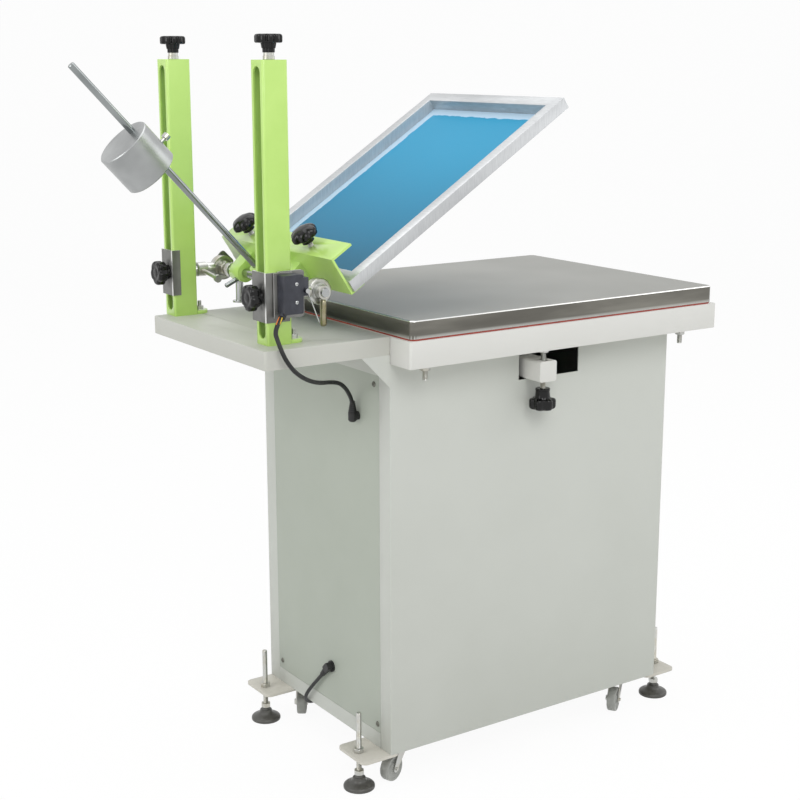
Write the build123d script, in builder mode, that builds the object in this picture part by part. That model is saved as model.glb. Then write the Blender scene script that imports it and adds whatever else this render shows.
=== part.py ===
"""Floor-standing vacuum screen printing table: a cabinet with a vacuum table on top,
and a hinged screen carried by a height-adjustable carriage on two slotted columns.

Millimetres, +Z up, floor at Z = 0. +X runs from the hinge end to the operator's end,
+Y to the far side. The origin is on the floor under the middle of the machine.
"""
import os
from math import cos, pi, radians, sin, tan

from build123d import *

os.makedirs("parts", exist_ok=True)

# ---------------------------------------------------------------- driving dimensions
FIT = 0.05            # radial clearance of a pin, stud or screw that turns or slides
SLIDE = 0.1           # clearance per side of a block in its guide
SHEET = 2.0           # cabinet sheet

# cabinet
PLATEN_X0, PLATEN_X1, PLATEN_HALF_Y = -125.0, 575.0, 273.0
CAB_X0, CAB_X1 = -131.0, 515.0
CAB_Y0, CAB_Y1 = -(PLATEN_HALF_Y - 56.0), PLATEN_HALF_Y - 48.0
CAB_Z0, CAB_Z1 = 70.0, 794.0
RETURN = 35.0         # width of the side sheets' return flanges on the hinge end
WINDOW_X0, WINDOW_X1, WINDOW_Z0 = 149.0, 290.0, 732.0
END_PANEL_Z0, END_PANEL_Z1 = 100.0, 768.0

# shelf behind the table, which carries the columns
SHELF_X0, SHELF_X1 = -373.0, -131.5
SHELF_Y0, SHELF_Y1 = CAB_Y0, CAB_Y1 - 23.0
SHELF_TOP, SHELF_DEEP, SHELF_T = 842.0, 32.0, 2.5
SHELF_R = 6.0
GUSSET = 57.0

# vacuum table
TRAY_X0, TRAY_X1, TRAY_HALF_Y = -130.5, 583.0, PLATEN_HALF_Y + 4.5
TRAY_Z1 = 841.0
TRAY_LIP = 15.0
TRAY_R = 5.0
PLATEN_TOP, PLATEN_T, PLATEN_R = 875.5, 3.0, 10.0
GASKET_T, GASKET_W = 3.0, 8.0
JACK_R, JACK_Z0 = 5.0, 768.0
JACK_X, JACK_Y = (-86.0, 509.0), PLATEN_HALF_Y - 16.0
JACK_NUT, JACK_NUT_T, JACK_WASHER_R, JACK_WASHER_T = 17.0, 7.5, 11.0, 1.5

# table lock under the near edge
BEAM_X, BEAM_W, BEAM_T = 181.0, 38.0, 2.5
BEAM_Z0 = 733.0
LOCK_Y = -(TRAY_HALF_Y - 30.5)
BEAM_Y0 = LOCK_Y - 15.0
TABLE_SHIFT = 5.0
LOCK_HUB_TOP = 719.0
LOCK_HEAD_R, LOCK_HEAD_T, LOCK_HUB_L, LOCK_BORE_DEEP = 24.5, 20.0, 19.0, 17.0

# feet and casters
FLANGE_T, FLANGE_W, FLANGE_OUT, FLANGE_IN = 5.0, 90.0, 60.0, 20.0
FOOT_OUT_HINGE, FOOT_OUT_USER, FOOT_Y_IN = 40.0, 44.5, 46.0
FOOT_R, FOOT_STUD_R, FOOT_STUD_TOP = 29.0, 5.0, 147.0
FOOT_RIM_Z, FOOT_SHOULDER_Z, FOOT_NECK_R, FOOT_NECK_Z, FOOT_TOP_Z = 5.0, 8.0, 12.0, 17.0, 21.0
FOOT_NUT, FOOT_NUT_T, FOOT_HEX_Z, FOOT_HEX_T = 17.0, 8.0, 26.0, 9.0
CASTER_PLATE, CASTER_PLATE_T, RACE_R, RACE_T, KINGPIN_R = 46.0, 2.5, 17.0, 4.0, 4.0
FORK_TOP_R, FORK_TOP_T, FORK_HALF_L, FORK_EYE_R = 15.0, 3.0, 13.0, 7.0
CASTER_X = (-84.0, 455.0)
CASTER_Y = (CAB_Y0 + 45.0, CAB_Y1 - 45.0)
WHEEL_R, WHEEL_W, TRAIL = 24.5, 18.0, 24.0
WHEEL_LIFT = 0.5       # the feet carry the machine, so the wheels just clear the floor

# columns
COL_X0, COL_L, COL_W, COL_WALL = -345.0, 46.0, 40.0, 3.5
COL_TOP = 1300.0
COL_Y = {"near": SHELF_Y0 + 58.0, "far": SHELF_Y1 - 14.0}
SLOT_Z0, SLOT_Z1, SLOT_W, BACK_SLOT_W = 852.0, 1290.0, 22.0, 17.0
COL_FOOT_T, COL_FOOT_X1, COL_FOOT_R, COL_CAP_T = 6.0, -272.0, 18.0, 5.0
BOLT_X, BOLT_R, BOLT_HOLE_R, BOLT_HEX = COL_FOOT_X1 - 14.0, 4.0, 4.2, 13.0
BOLT_NUT_T, BOLT_HEAD_T, BOLT_L = 6.0, 6.5, 24.0

# carriage and hinge
HINGE_X, HINGE_Z = -237.0, 922.0
SHAFT_R, SHAFT_Y0, SHAFT_Y1 = 8.0, COL_Y["near"] - 25.0, COL_Y["far"] + 27.0
SCREW_R, SCREW_COLLAR_R, SCREW_COLLAR_T, SCREW_NECK_R, SCREW_NECK_T = 6.0, 9.5, 6.0, 8.5, 5.0
SCREW_KEEPER_T, SCREW_RISE, KNOB_BORE_DEEP = 4.0, 20.0, 11.0
BLOCK_H = 60.0
PLATE_H, PLATE_T, CHEEK_T, CHEEK_GAP = 82.0, 4.0, 3.0, 0.3
CHEEK_LENGTHS = {"near": {-1: 44.0, 1: 24.0}, "far": {-1: 16.0}}
STUD_R = 5.0
COLUMN_HEAD_R, COLUMN_HEAD_T, COLUMN_HUB_L = 21.0, 14.0, 9.0
HEIGHT_HEAD_R, HEIGHT_HEAD_T, HEIGHT_HUB_L = 22.5, 14.0, 15.0
EYE_R, EYE_W = 22.5, 15.0
NECK_R, SHANK_IN = 11.0, 9.5
RACE_R0, RACE_R1, RACE_DEEP = 13.0, 15.5, 1.2
BALL_R, BALL_OUT = 11.5, 2.0
NUT_ACROSS, NUT_T, NUT_STEP = 24.0, 12.5, 20.0
COLLAR_X0, COLLAR_L, COLLAR_R = -291.0, 20.0, 13.0
TOMMY_R, TOMMY_LEN, TOMMY_DROP = 4.0, 71.0, 8.0
THRUST_T, THRUST_S0, THRUST_S1, THRUST_W, THRUST_CORNER = 3.0, -12.0, 28.0, 34.0, 6.0

# screen frame and its clamp, laid out in the tilted frame: s along the screen from
# the hinge axis, n square to it
TILT = 32.7
SCREEN_S0, SCREEN_L, SCREEN_HALF_Y = 37.0, 541.0, 205.5
SCREEN_TOP_N, SCREEN_H, RAIL_W, RAIL_T = -2.1, 21.0, 25.0, 1.6
MESH_T = 0.5
CLAMP_S0, CLAMP_T, CLAMP_TOP_N, CLAMP_FLANGE, CLAMP_LIP = 33.0, 4.0, 46.0, 45.0, 30.0
CLAMP_Y0, CLAMP_Y1 = COL_Y["near"] - 39.0, COL_Y["far"] + 4.0
HUB_R, HUB_L = 17.0, 33.0
HUB_Y = {"near": COL_Y["near"] + 83.0, "far": COL_Y["far"] - 93.0}
ROD_HUB_L, SOCKET_R, SOCKET_L = 34.0, 13.0, 34.0
KNOB_S = 55.0
KNOB_Y = {"near": COL_Y["near"] + 57.0, "far": COL_Y["far"] - 79.0}
FRAME_HEAD_R, FRAME_HEAD_T, FRAME_HUB_L, FRAME_STUD_BARE = 21.5, 15.0, 11.0, 9.0
PAD_R, PAD_T = 9.0, 5.0

# brake screw under the far hub, and the pin that stands out behind it
BRAKE_Y, BRAKE_DROP = HUB_Y["far"] + 26.0, 56.0
BRAKE_R, BRAKE_BARREL_R, BRAKE_DISC_R, BRAKE_DISC_T = 4.5, 7.0, 13.0, 3.0
PIN_Y, PIN_ANGLE, PIN_R, PIN_FROM, PIN_TO = HUB_Y["far"] + 13.0, 205.0, 4.25, 4.0, 34.0
PIN_OFF = (-4.0, -8.0)

# counterweight, on a rod that stands square out of the hinge shaft
ROD_ANGLE, ROD_R, ROD_FROM, ROD_TO, ROD_Y = 133.1, 6.0, 12.0, 508.0, 14.5
WEIGHT_R, WEIGHT_R0, WEIGHT_R1, WEIGHT_OFF = 47.5, 289.0, 361.0, 24.0

CORD_R = 3.5
CABLE_R = 3.75


def keep(built, name, solid=None):
    """Label a finished piece and write it."""
    piece = solid if solid is not None else built.part
    piece.label = name
    export_step(piece, f"parts/{name}.step")


def hex_ring(plane, across, thick, bore_r):
    """A plain hexagon nut seated on a plane."""
    with BuildPart() as nut:
        with BuildSketch(plane):
            RegularPolygon(across / 2, 6, major_radius=False)
            Circle(bore_r, mode=Mode.SUBTRACT)
        extrude(amount=thick)
    return nut


def star_knob(seat, head_r, head_t, hub_r0, hub_r1, hub_l, stud_r, stud_l, lobes=5):
    """A moulded star knob. The seat's normal points from the work to the head."""
    notch_r = head_r * 0.34
    with BuildPart() as knob:
        with BuildSketch(seat.offset(hub_l)):
            Circle(head_r)
            with PolarLocations(head_r * 1.16, lobes):
                Circle(notch_r, mode=Mode.SUBTRACT)
            fillet(vertices(), head_r * 0.14)
        extrude(amount=head_t)
        crown = faces().sort_by(Axis(seat.origin, seat.z_dir))[-1]
        chamfer(crown.edges(), head_r * 0.09)
        with BuildSketch(seat):
            Circle(hub_r0)
        with BuildSketch(seat.offset(hub_l)):
            Circle(hub_r1)
        loft()
        if stud_l:
            with BuildSketch(seat.offset(-stud_l)):
                Circle(stud_r)
            extrude(amount=stud_l + hub_l / 2)
    return knob


# ---------------------------------------------------------------- cabinet
def side_outline():
    """One side sheet seen square on, with the gusset arm that runs under the shelf."""
    return [
        (CAB_X0, CAB_Z0),
        (CAB_X1 - SHEET, CAB_Z0),
        (CAB_X1 - SHEET, CAB_Z1),
        (SHELF_X1, CAB_Z1),
        (SHELF_X1, SHELF_TOP - SHELF_DEEP),
        (CAB_X0 - GUSSET, SHELF_TOP - SHELF_DEEP),
        (CAB_X0, SHELF_TOP - SHELF_DEEP - GUSSET),
    ]


with BuildPart() as near_side:
    with BuildSketch(Plane.XZ.offset(-CAB_Y0)):
        with BuildLine():
            Polyline(*side_outline(), close=True)
        make_face()
    extrude(amount=-SHEET)
    with BuildSketch(Plane.XY.offset(CAB_Z0)):
        with Locations((CAB_X0, CAB_Y0 + SHEET)):
            Rectangle(SHEET, RETURN - SHEET, align=(Align.MIN, Align.MIN))
    extrude(amount=CAB_Z1 - CAB_Z0)
    with BuildSketch(Plane.XZ.offset(-CAB_Y0 + 1)):
        with Locations((WINDOW_X0, WINDOW_Z0)):
            Rectangle(WINDOW_X1 - WINDOW_X0, CAB_Z1 - WINDOW_Z0 + 1, align=(Align.MIN, Align.MIN))
    extrude(amount=-SHEET - 2, mode=Mode.SUBTRACT)
    corner = edges().filter_by(Axis.Z).filter_by(
        lambda e: abs(e.center().X - CAB_X0) < 0.01 and abs(e.center().Y - CAB_Y0) < 0.01
    )
    fillet(corner, SHEET * 0.8)

with BuildPart() as far_side:
    with BuildSketch(Plane.XZ.offset(-CAB_Y1 + SHEET)):
        with BuildLine():
            Polyline(*side_outline(), close=True)
        make_face()
    extrude(amount=-SHEET)
    with BuildSketch(Plane.XY.offset(CAB_Z0)):
        with Locations((CAB_X0, CAB_Y1 - SHEET)):
            Rectangle(SHEET, RETURN - SHEET, align=(Align.MIN, Align.MAX))
    extrude(amount=CAB_Z1 - CAB_Z0)

with BuildPart() as operator_end:
    with BuildSketch(Plane.XY.offset(CAB_Z0)):
        with Locations((CAB_X1 - SHEET, CAB_Y0)):
            Rectangle(SHEET, CAB_Y1 - CAB_Y0, align=(Align.MIN, Align.MIN))
    extrude(amount=CAB_Z1 - CAB_Z0)

keep(None, "cabinet_panels", Compound(children=[near_side.part, far_side.part, operator_end.part]))

PANEL_Y0, PANEL_Y1 = CAB_Y0 + RETURN + 0.5, CAB_Y1 - RETURN - 0.5
CABLE_HOLE_Y, CABLE_HOLE_Z, CABLE_HOLE_R = COL_Y["near"] + 46.0, 684.0, 8.0
CORD_HOLE_Y, CORD_HOLE_Z, CORD_HOLE_R = -14.0, 172.0, 7.0
with BuildPart() as end_panel:
    with BuildSketch(Plane.YZ.offset(CAB_X0)):
        with Locations((PANEL_Y0, END_PANEL_Z0)):
            Rectangle(PANEL_Y1 - PANEL_Y0, END_PANEL_Z1 - END_PANEL_Z0, align=(Align.MIN, Align.MIN))
        with Locations((CABLE_HOLE_Y, CABLE_HOLE_Z)):
            Circle(CABLE_HOLE_R, mode=Mode.SUBTRACT)
        with Locations((CORD_HOLE_Y, CORD_HOLE_Z)):
            Circle(CORD_HOLE_R, mode=Mode.SUBTRACT)
    extrude(amount=SHEET)
keep(end_panel, "end_panel")

# corner posts of folded angle, end strips above and below the panel, and the bearer
# that carries the shelf's inner edge
POST_X, POST_Y, POST_T = 30.0, 60.0, 2.0


def corner_post(x, y, dx, dy):
    with BuildPart() as post:
        with BuildSketch(Plane.XY.offset(CAB_Z0 + SHEET)):
            with BuildLine():
                Polyline(
                    (x, y), (x + dx * POST_X, y), (x + dx * POST_X, y + dy * POST_T),
                    (x + dx * POST_T, y + dy * POST_T), (x + dx * POST_T, y + dy * POST_Y),
                    (x, y + dy * POST_Y), close=True,
                )
            make_face()
        extrude(amount=CAB_Z1 - CAB_Z0 - SHEET)
    return post.part


in_x0, in_x1 = CAB_X0 + SHEET, CAB_X1 - SHEET
in_y0, in_y1 = CAB_Y0 + SHEET, CAB_Y1 - SHEET
frame_solids = [
    corner_post(in_x0, in_y0, 1, 1),
    corner_post(in_x0, in_y1, 1, -1),
    corner_post(in_x1, in_y0, -1, 1),
    corner_post(in_x1, in_y1, -1, -1),
]
with BuildPart() as low_strip:
    with BuildSketch(Plane.YZ.offset(CAB_X0)):
        with Locations((PANEL_Y0, CAB_Z0)):
            Rectangle(PANEL_Y1 - PANEL_Y0, END_PANEL_Z0 - CAB_Z0 - 0.5, align=(Align.MIN, Align.MIN))
    extrude(amount=SHEET)
with BuildPart() as shelf_bearer:
    with BuildSketch(Plane.XZ.offset(-PANEL_Y0)):
        with BuildLine():
            Polyline(
                (CAB_X0 - 4, END_PANEL_Z1 + 0.5), (CAB_X0 + SHEET, END_PANEL_Z1 + 0.5),
                (CAB_X0 + SHEET, CAB_Z1), (SHELF_X1, CAB_Z1),
                (SHELF_X1, SHELF_TOP - SHELF_T), (CAB_X0 - 4, SHELF_TOP - SHELF_T), close=True,
            )
        make_face()
    extrude(amount=-(PANEL_Y1 - PANEL_Y0))
frame_solids += [low_strip.part, shelf_bearer.part]
keep(None, "cabinet_frame", Compound(children=frame_solids))

with BuildPart() as base_pan:
    with BuildSketch(Plane.XY.offset(CAB_Z0)):
        with Locations((in_x0, in_y0)):
            Rectangle(in_x1 - in_x0, in_y1 - in_y0, align=(Align.MIN, Align.MIN))
    extrude(amount=SHEET)
keep(base_pan, "base_pan")

# ---------------------------------------------------------------- shelf
with BuildPart() as shelf:
    with BuildSketch(Plane.XY.offset(SHELF_TOP - SHELF_DEEP)):
        with Locations((SHELF_X0, SHELF_Y0)):
            Rectangle(SHELF_X1 - SHELF_X0, SHELF_Y1 - SHELF_Y0, align=(Align.MIN, Align.MIN))
    extrude(amount=SHELF_DEEP)
    fillet(edges().filter_by(Axis.Z).group_by(Axis.X)[0], SHELF_R)
    top_rim = faces().sort_by(Axis.Z)[-1].edges()
    fillet(top_rim.filter_by(lambda e: e.center().X < SHELF_X1 - 1), 1.5)
    with BuildSketch(Plane.XY.offset(SHELF_TOP - SHELF_DEEP)):
        with Locations((SHELF_X0 + SHELF_T, SHELF_Y0 + SHELF_T)):
            Rectangle(
                SHELF_X1 - SHELF_X0 - SHELF_T, SHELF_Y1 - SHELF_Y0 - 2 * SHELF_T,
                align=(Align.MIN, Align.MIN),
            )
    extrude(amount=SHELF_DEEP - SHELF_T, mode=Mode.SUBTRACT)
    with Locations(*[(BOLT_X, y, SHELF_TOP) for y in COL_Y.values()]):
        Hole(BOLT_HOLE_R, depth=SHELF_T)
keep(shelf, "shelf")

# ---------------------------------------------------------------- vacuum table
def ring_box(x0, x1, half_y, z0, z1, corner_r):
    """A rounded rectangular block between two heights."""
    with BuildPart() as block:
        with BuildSketch(Plane.XY.offset(z0)):
            with Locations(((x0 + x1) / 2, 0)):
                RectangleRounded(x1 - x0, 2 * half_y, corner_r)
        extrude(amount=z1 - z0)
    return block.part


JACKS = [(x, y) for x in JACK_X for y in (-JACK_Y, JACK_Y)]
with BuildPart() as tray:
    add(ring_box(TRAY_X0, TRAY_X1, TRAY_HALF_Y, CAB_Z1, TRAY_Z1, TRAY_R))
    add(
        ring_box(
            TRAY_X0 + SHEET, TRAY_X1 - SHEET, TRAY_HALF_Y - SHEET, CAB_Z1 + SHEET, TRAY_Z1 - SHEET,
            TRAY_R - SHEET,
        ),
        mode=Mode.SUBTRACT,
    )
    add(
        ring_box(
            TRAY_X0 + TRAY_LIP, TRAY_X1 - TRAY_LIP, TRAY_HALF_Y - TRAY_LIP, TRAY_Z1 - SHEET - 1,
            TRAY_Z1, 3,
        ),
        mode=Mode.SUBTRACT,
    )
    with Locations(*[(x, y, CAB_Z1 + SHEET) for x, y in JACKS]):
        Hole(JACK_R + FIT, depth=SHEET)
    with Locations((BEAM_X, LOCK_Y, CAB_Z1 + SHEET)):
        Hole(JACK_R + FIT, depth=SHEET)
keep(tray, "tray")

PLATEN_Z0 = TRAY_Z1 + GASKET_T
with BuildPart() as gasket:
    add(ring_box(PLATEN_X0 + 1, PLATEN_X1 - 1, PLATEN_HALF_Y - 1, TRAY_Z1, PLATEN_Z0, PLATEN_R))
    add(
        ring_box(
            PLATEN_X0 + 1 + GASKET_W, PLATEN_X1 - 1 - GASKET_W, PLATEN_HALF_Y - 1 - GASKET_W,
            TRAY_Z1, PLATEN_Z0, 4,
        ),
        mode=Mode.SUBTRACT,
    )
keep(gasket, "gasket")

with BuildPart() as platen:
    add(ring_box(PLATEN_X0, PLATEN_X1, PLATEN_HALF_Y, PLATEN_Z0, PLATEN_TOP, PLATEN_R))
    fillet(faces().sort_by(Axis.Z)[-1].edges(), 2.5)
    add(
        ring_box(
            PLATEN_X0 + PLATEN_T, PLATEN_X1 - PLATEN_T, PLATEN_HALF_Y - PLATEN_T, PLATEN_Z0,
            PLATEN_TOP - PLATEN_T, PLATEN_R - PLATEN_T,
        ),
        mode=Mode.SUBTRACT,
    )
keep(platen, "platen")

# levelling jacks of the platen, and the lock stud, each with a flange nut under the tray
def nutted_stud(x, y, z0, z1):
    with BuildPart() as stud:
        with BuildSketch(Plane.XY.offset(z0)):
            with Locations((x, y)):
                Circle(JACK_R)
        extrude(amount=z1 - z0)
        with BuildSketch(Plane.XY.offset(CAB_Z1 - JACK_WASHER_T - JACK_NUT_T)):
            with Locations((x, y)):
                RegularPolygon(JACK_NUT / 2, 6, major_radius=False)
        extrude(amount=JACK_NUT_T)
        with BuildSketch(Plane.XY.offset(CAB_Z1 - JACK_WASHER_T)):
            with Locations((x, y)):
                Circle(JACK_WASHER_R)
        extrude(amount=JACK_WASHER_T)
    return stud.part


jack_solids = [nutted_stud(x, y, JACK_Z0, PLATEN_TOP - PLATEN_T) for x, y in JACKS]
jack_solids.append(nutted_stud(BEAM_X, LOCK_Y, LOCK_HUB_TOP - LOCK_BORE_DEEP + 1, TRAY_Z1 - SHEET - 10))
keep(None, "table_studs", Compound(children=jack_solids))

with BuildPart() as lock_beam:
    with BuildSketch(Plane.XZ.offset(-BEAM_Y0)):
        with Locations((BEAM_X, BEAM_Z0 + BEAM_W / 2)):
            RectangleRounded(BEAM_W, BEAM_W, 4)
    extrude(amount=-(in_y1 - BEAM_Y0))
    with BuildSketch(Plane.XZ.offset(-BEAM_Y0 - BEAM_T)):
        with Locations((BEAM_X, BEAM_Z0 + BEAM_W / 2)):
            RectangleRounded(BEAM_W - 2 * BEAM_T, BEAM_W - 2 * BEAM_T, 1.5)
    extrude(amount=-(in_y1 - BEAM_Y0), mode=Mode.SUBTRACT)
    with BuildSketch(Plane.XY.offset(BEAM_Z0)):
        with Locations((BEAM_X, LOCK_Y)):
            SlotOverall(2 * (TABLE_SHIFT + JACK_R + 0.5), 2 * JACK_R + 1, rotation=90)
    extrude(amount=BEAM_W, mode=Mode.SUBTRACT)
keep(lock_beam, "lock_beam")

LOCK_BORE = JACK_R + FIT
lock_seat = Plane((BEAM_X, LOCK_Y, LOCK_HUB_TOP), x_dir=(1, 0, 0), z_dir=(0, 0, -1))
lock_body = star_knob(lock_seat, LOCK_HEAD_R, LOCK_HEAD_T, 13, 15, LOCK_HUB_L, 0, 0, lobes=6)
with BuildPart() as lock_knob:
    add(lock_body.part)
    with BuildSketch(lock_seat):
        Circle(LOCK_BORE)
    extrude(amount=LOCK_BORE_DEEP, mode=Mode.SUBTRACT)
keep(lock_knob, "lock_knob")

# ---------------------------------------------------------------- feet and casters
FEET = {
    "foot_1": (CAB_X0 - FOOT_OUT_HINGE, CAB_Y1 - FOOT_Y_IN),
    "foot_2": (CAB_X0 - FOOT_OUT_HINGE, CAB_Y0 + FOOT_Y_IN),
    "foot_3": (CAB_X1 + FOOT_OUT_USER, CAB_Y0 + FOOT_Y_IN),
    "foot_4": (CAB_X1 + FOOT_OUT_USER, CAB_Y1 - FOOT_Y_IN),
}
flange_solids = []
nut_solids = []
for name, (fx, fy) in FEET.items():
    out = -1 if fx < 0 else 1
    edge_x = CAB_X0 if out < 0 else CAB_X1
    xa, xb = sorted((edge_x + out * FLANGE_OUT, edge_x - out * FLANGE_IN))
    ya = CAB_Y0 if fy < 0 else CAB_Y1 - FLANGE_W
    with BuildPart() as flange:
        with BuildSketch(Plane.XY.offset(CAB_Z0 - FLANGE_T)):
            with Locations(((xa + xb) / 2, ya + FLANGE_W / 2)):
                RectangleRounded(xb - xa, FLANGE_W, 12)
            with Locations((fx, fy)):
                Circle(FOOT_STUD_R + 0.5, mode=Mode.SUBTRACT)
        extrude(amount=FLANGE_T)
    flange_solids.append(flange.part)
    seat = Plane((fx, fy, CAB_Z0))
    nut_solids.append(hex_ring(seat, FOOT_NUT, FOOT_NUT_T, FOOT_STUD_R + FIT).part)
    with BuildPart() as foot:
        with BuildSketch(Plane.XZ):
            with BuildLine():
                Polyline(
                    (0, 0), (FOOT_R, 0), (FOOT_R, FOOT_RIM_Z), (FOOT_R - 2, FOOT_SHOULDER_Z),
                )
                Polyline(
                    (FOOT_NECK_R, FOOT_NECK_Z), (FOOT_NECK_R - 2, FOOT_TOP_Z), (0, FOOT_TOP_Z), (0, 0),
                )
                Spline((FOOT_R - 2, FOOT_SHOULDER_Z), (20, 14), (FOOT_NECK_R, FOOT_NECK_Z))
            make_face()
        revolve(axis=Axis.Z)
        with BuildSketch(Plane.XY.offset(FOOT_NECK_Z)):
            Circle(FOOT_STUD_R)
        extrude(amount=FOOT_STUD_TOP - FOOT_NECK_Z)
        with BuildSketch(Plane.XY.offset(FOOT_HEX_Z)):
            RegularPolygon(FOOT_NUT / 2, 6, major_radius=False)
        extrude(amount=FOOT_HEX_T)
        chamfer(faces().sort_by(Axis.Z)[-1].edges(), 1.2)
    keep(None, name, foot.part.moved(Location((fx, fy, 0))))
keep(None, "flange_plates", Compound(children=flange_solids))
keep(None, "foot_nuts", Compound(children=nut_solids))

CASTERS = {
    "1": (CASTER_X[0], CASTER_Y[1], 235.0),
    "2": (CASTER_X[0], CASTER_Y[0], 200.0),
    "3": (CASTER_X[1], CASTER_Y[0], 215.0),
    "4": (CASTER_X[1], CASTER_Y[1], 20.0),
}
PLATE_Z = CAB_Z0 - CASTER_PLATE_T
RACE_Z = PLATE_Z - RACE_T
FORK_Z = RACE_Z - FORK_TOP_T
FORK_T = 2.0
AXLE_R = 3.0
AXLE_Z = WHEEL_R + WHEEL_LIFT
eye_front, eye_back = (TRAIL + FORK_EYE_R, AXLE_Z), (TRAIL - FORK_EYE_R, AXLE_Z)
plate_solids = []
for tag, (cx, cy, heading) in CASTERS.items():
    with BuildPart() as mount_plate:
        with BuildSketch(Plane.XY.offset(PLATE_Z)):
            with Locations((cx, cy)):
                RectangleRounded(CASTER_PLATE, CASTER_PLATE, 4)
        extrude(amount=CASTER_PLATE_T)
        with BuildSketch(Plane.XY.offset(RACE_Z)):
            with Locations((cx, cy)):
                Circle(RACE_R)
        extrude(amount=RACE_T)
        with BuildSketch(Plane.XY.offset(FORK_Z - 4)):
            with Locations((cx, cy)):
                Circle(KINGPIN_R)
        extrude(amount=RACE_Z - FORK_Z + 4)
    plate_solids.append(mount_plate.part)
    where = Location((cx, cy, 0), (0, 0, heading))
    half = WHEEL_W / 2 + 1
    with BuildPart() as fork:
        with BuildSketch(Plane.XY.offset(FORK_Z)):
            Circle(FORK_TOP_R)
            Circle(KINGPIN_R + FIT, mode=Mode.SUBTRACT)
        extrude(amount=FORK_TOP_T)
        for way in (1, -1):
            with BuildSketch(Plane.XZ.offset(way * half)):
                with BuildLine():
                    Polyline((-FORK_HALF_L, FORK_Z), (FORK_HALF_L, FORK_Z), eye_front)
                    ThreePointArc(eye_front, (TRAIL, AXLE_Z - FORK_EYE_R), eye_back)
                    Line(eye_back, (-FORK_HALF_L, FORK_Z))
                make_face()
            extrude(amount=way * FORK_T)
        with BuildSketch(Plane.XZ.offset(half + 5)):
            with Locations((TRAIL, AXLE_Z)):
                Circle(AXLE_R)
        extrude(amount=-2 * half - 10)
        with BuildSketch(Plane.XZ.offset(half + FORK_T)):
            with Locations((TRAIL, AXLE_Z)):
                RegularPolygon(5, 6, major_radius=False)
        extrude(amount=3)
        with BuildSketch(Plane.XY.offset(FORK_Z - 2)):
            RectangleRounded(20, 2 * (half + FORK_T), 2)
            Circle(KINGPIN_R + FIT, mode=Mode.SUBTRACT)
        extrude(amount=2)
    keep(None, f"caster_fork_{tag}", fork.part.moved(where))
    with BuildPart() as wheel:
        with BuildSketch(Plane.XZ.offset(-WHEEL_W / 2)):
            with Locations((TRAIL, AXLE_Z)):
                Circle(WHEEL_R)
                Circle(AXLE_R + FIT, mode=Mode.SUBTRACT)
        extrude(amount=WHEEL_W)
        rim = edges().filter_by(GeomType.CIRCLE).filter_by(lambda e: e.radius > WHEEL_R - 1)
        fillet(rim, 3)
    keep(None, f"caster_wheel_{tag}", wheel.part.moved(where))
keep(None, "caster_plates", Compound(children=plate_solids))

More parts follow.
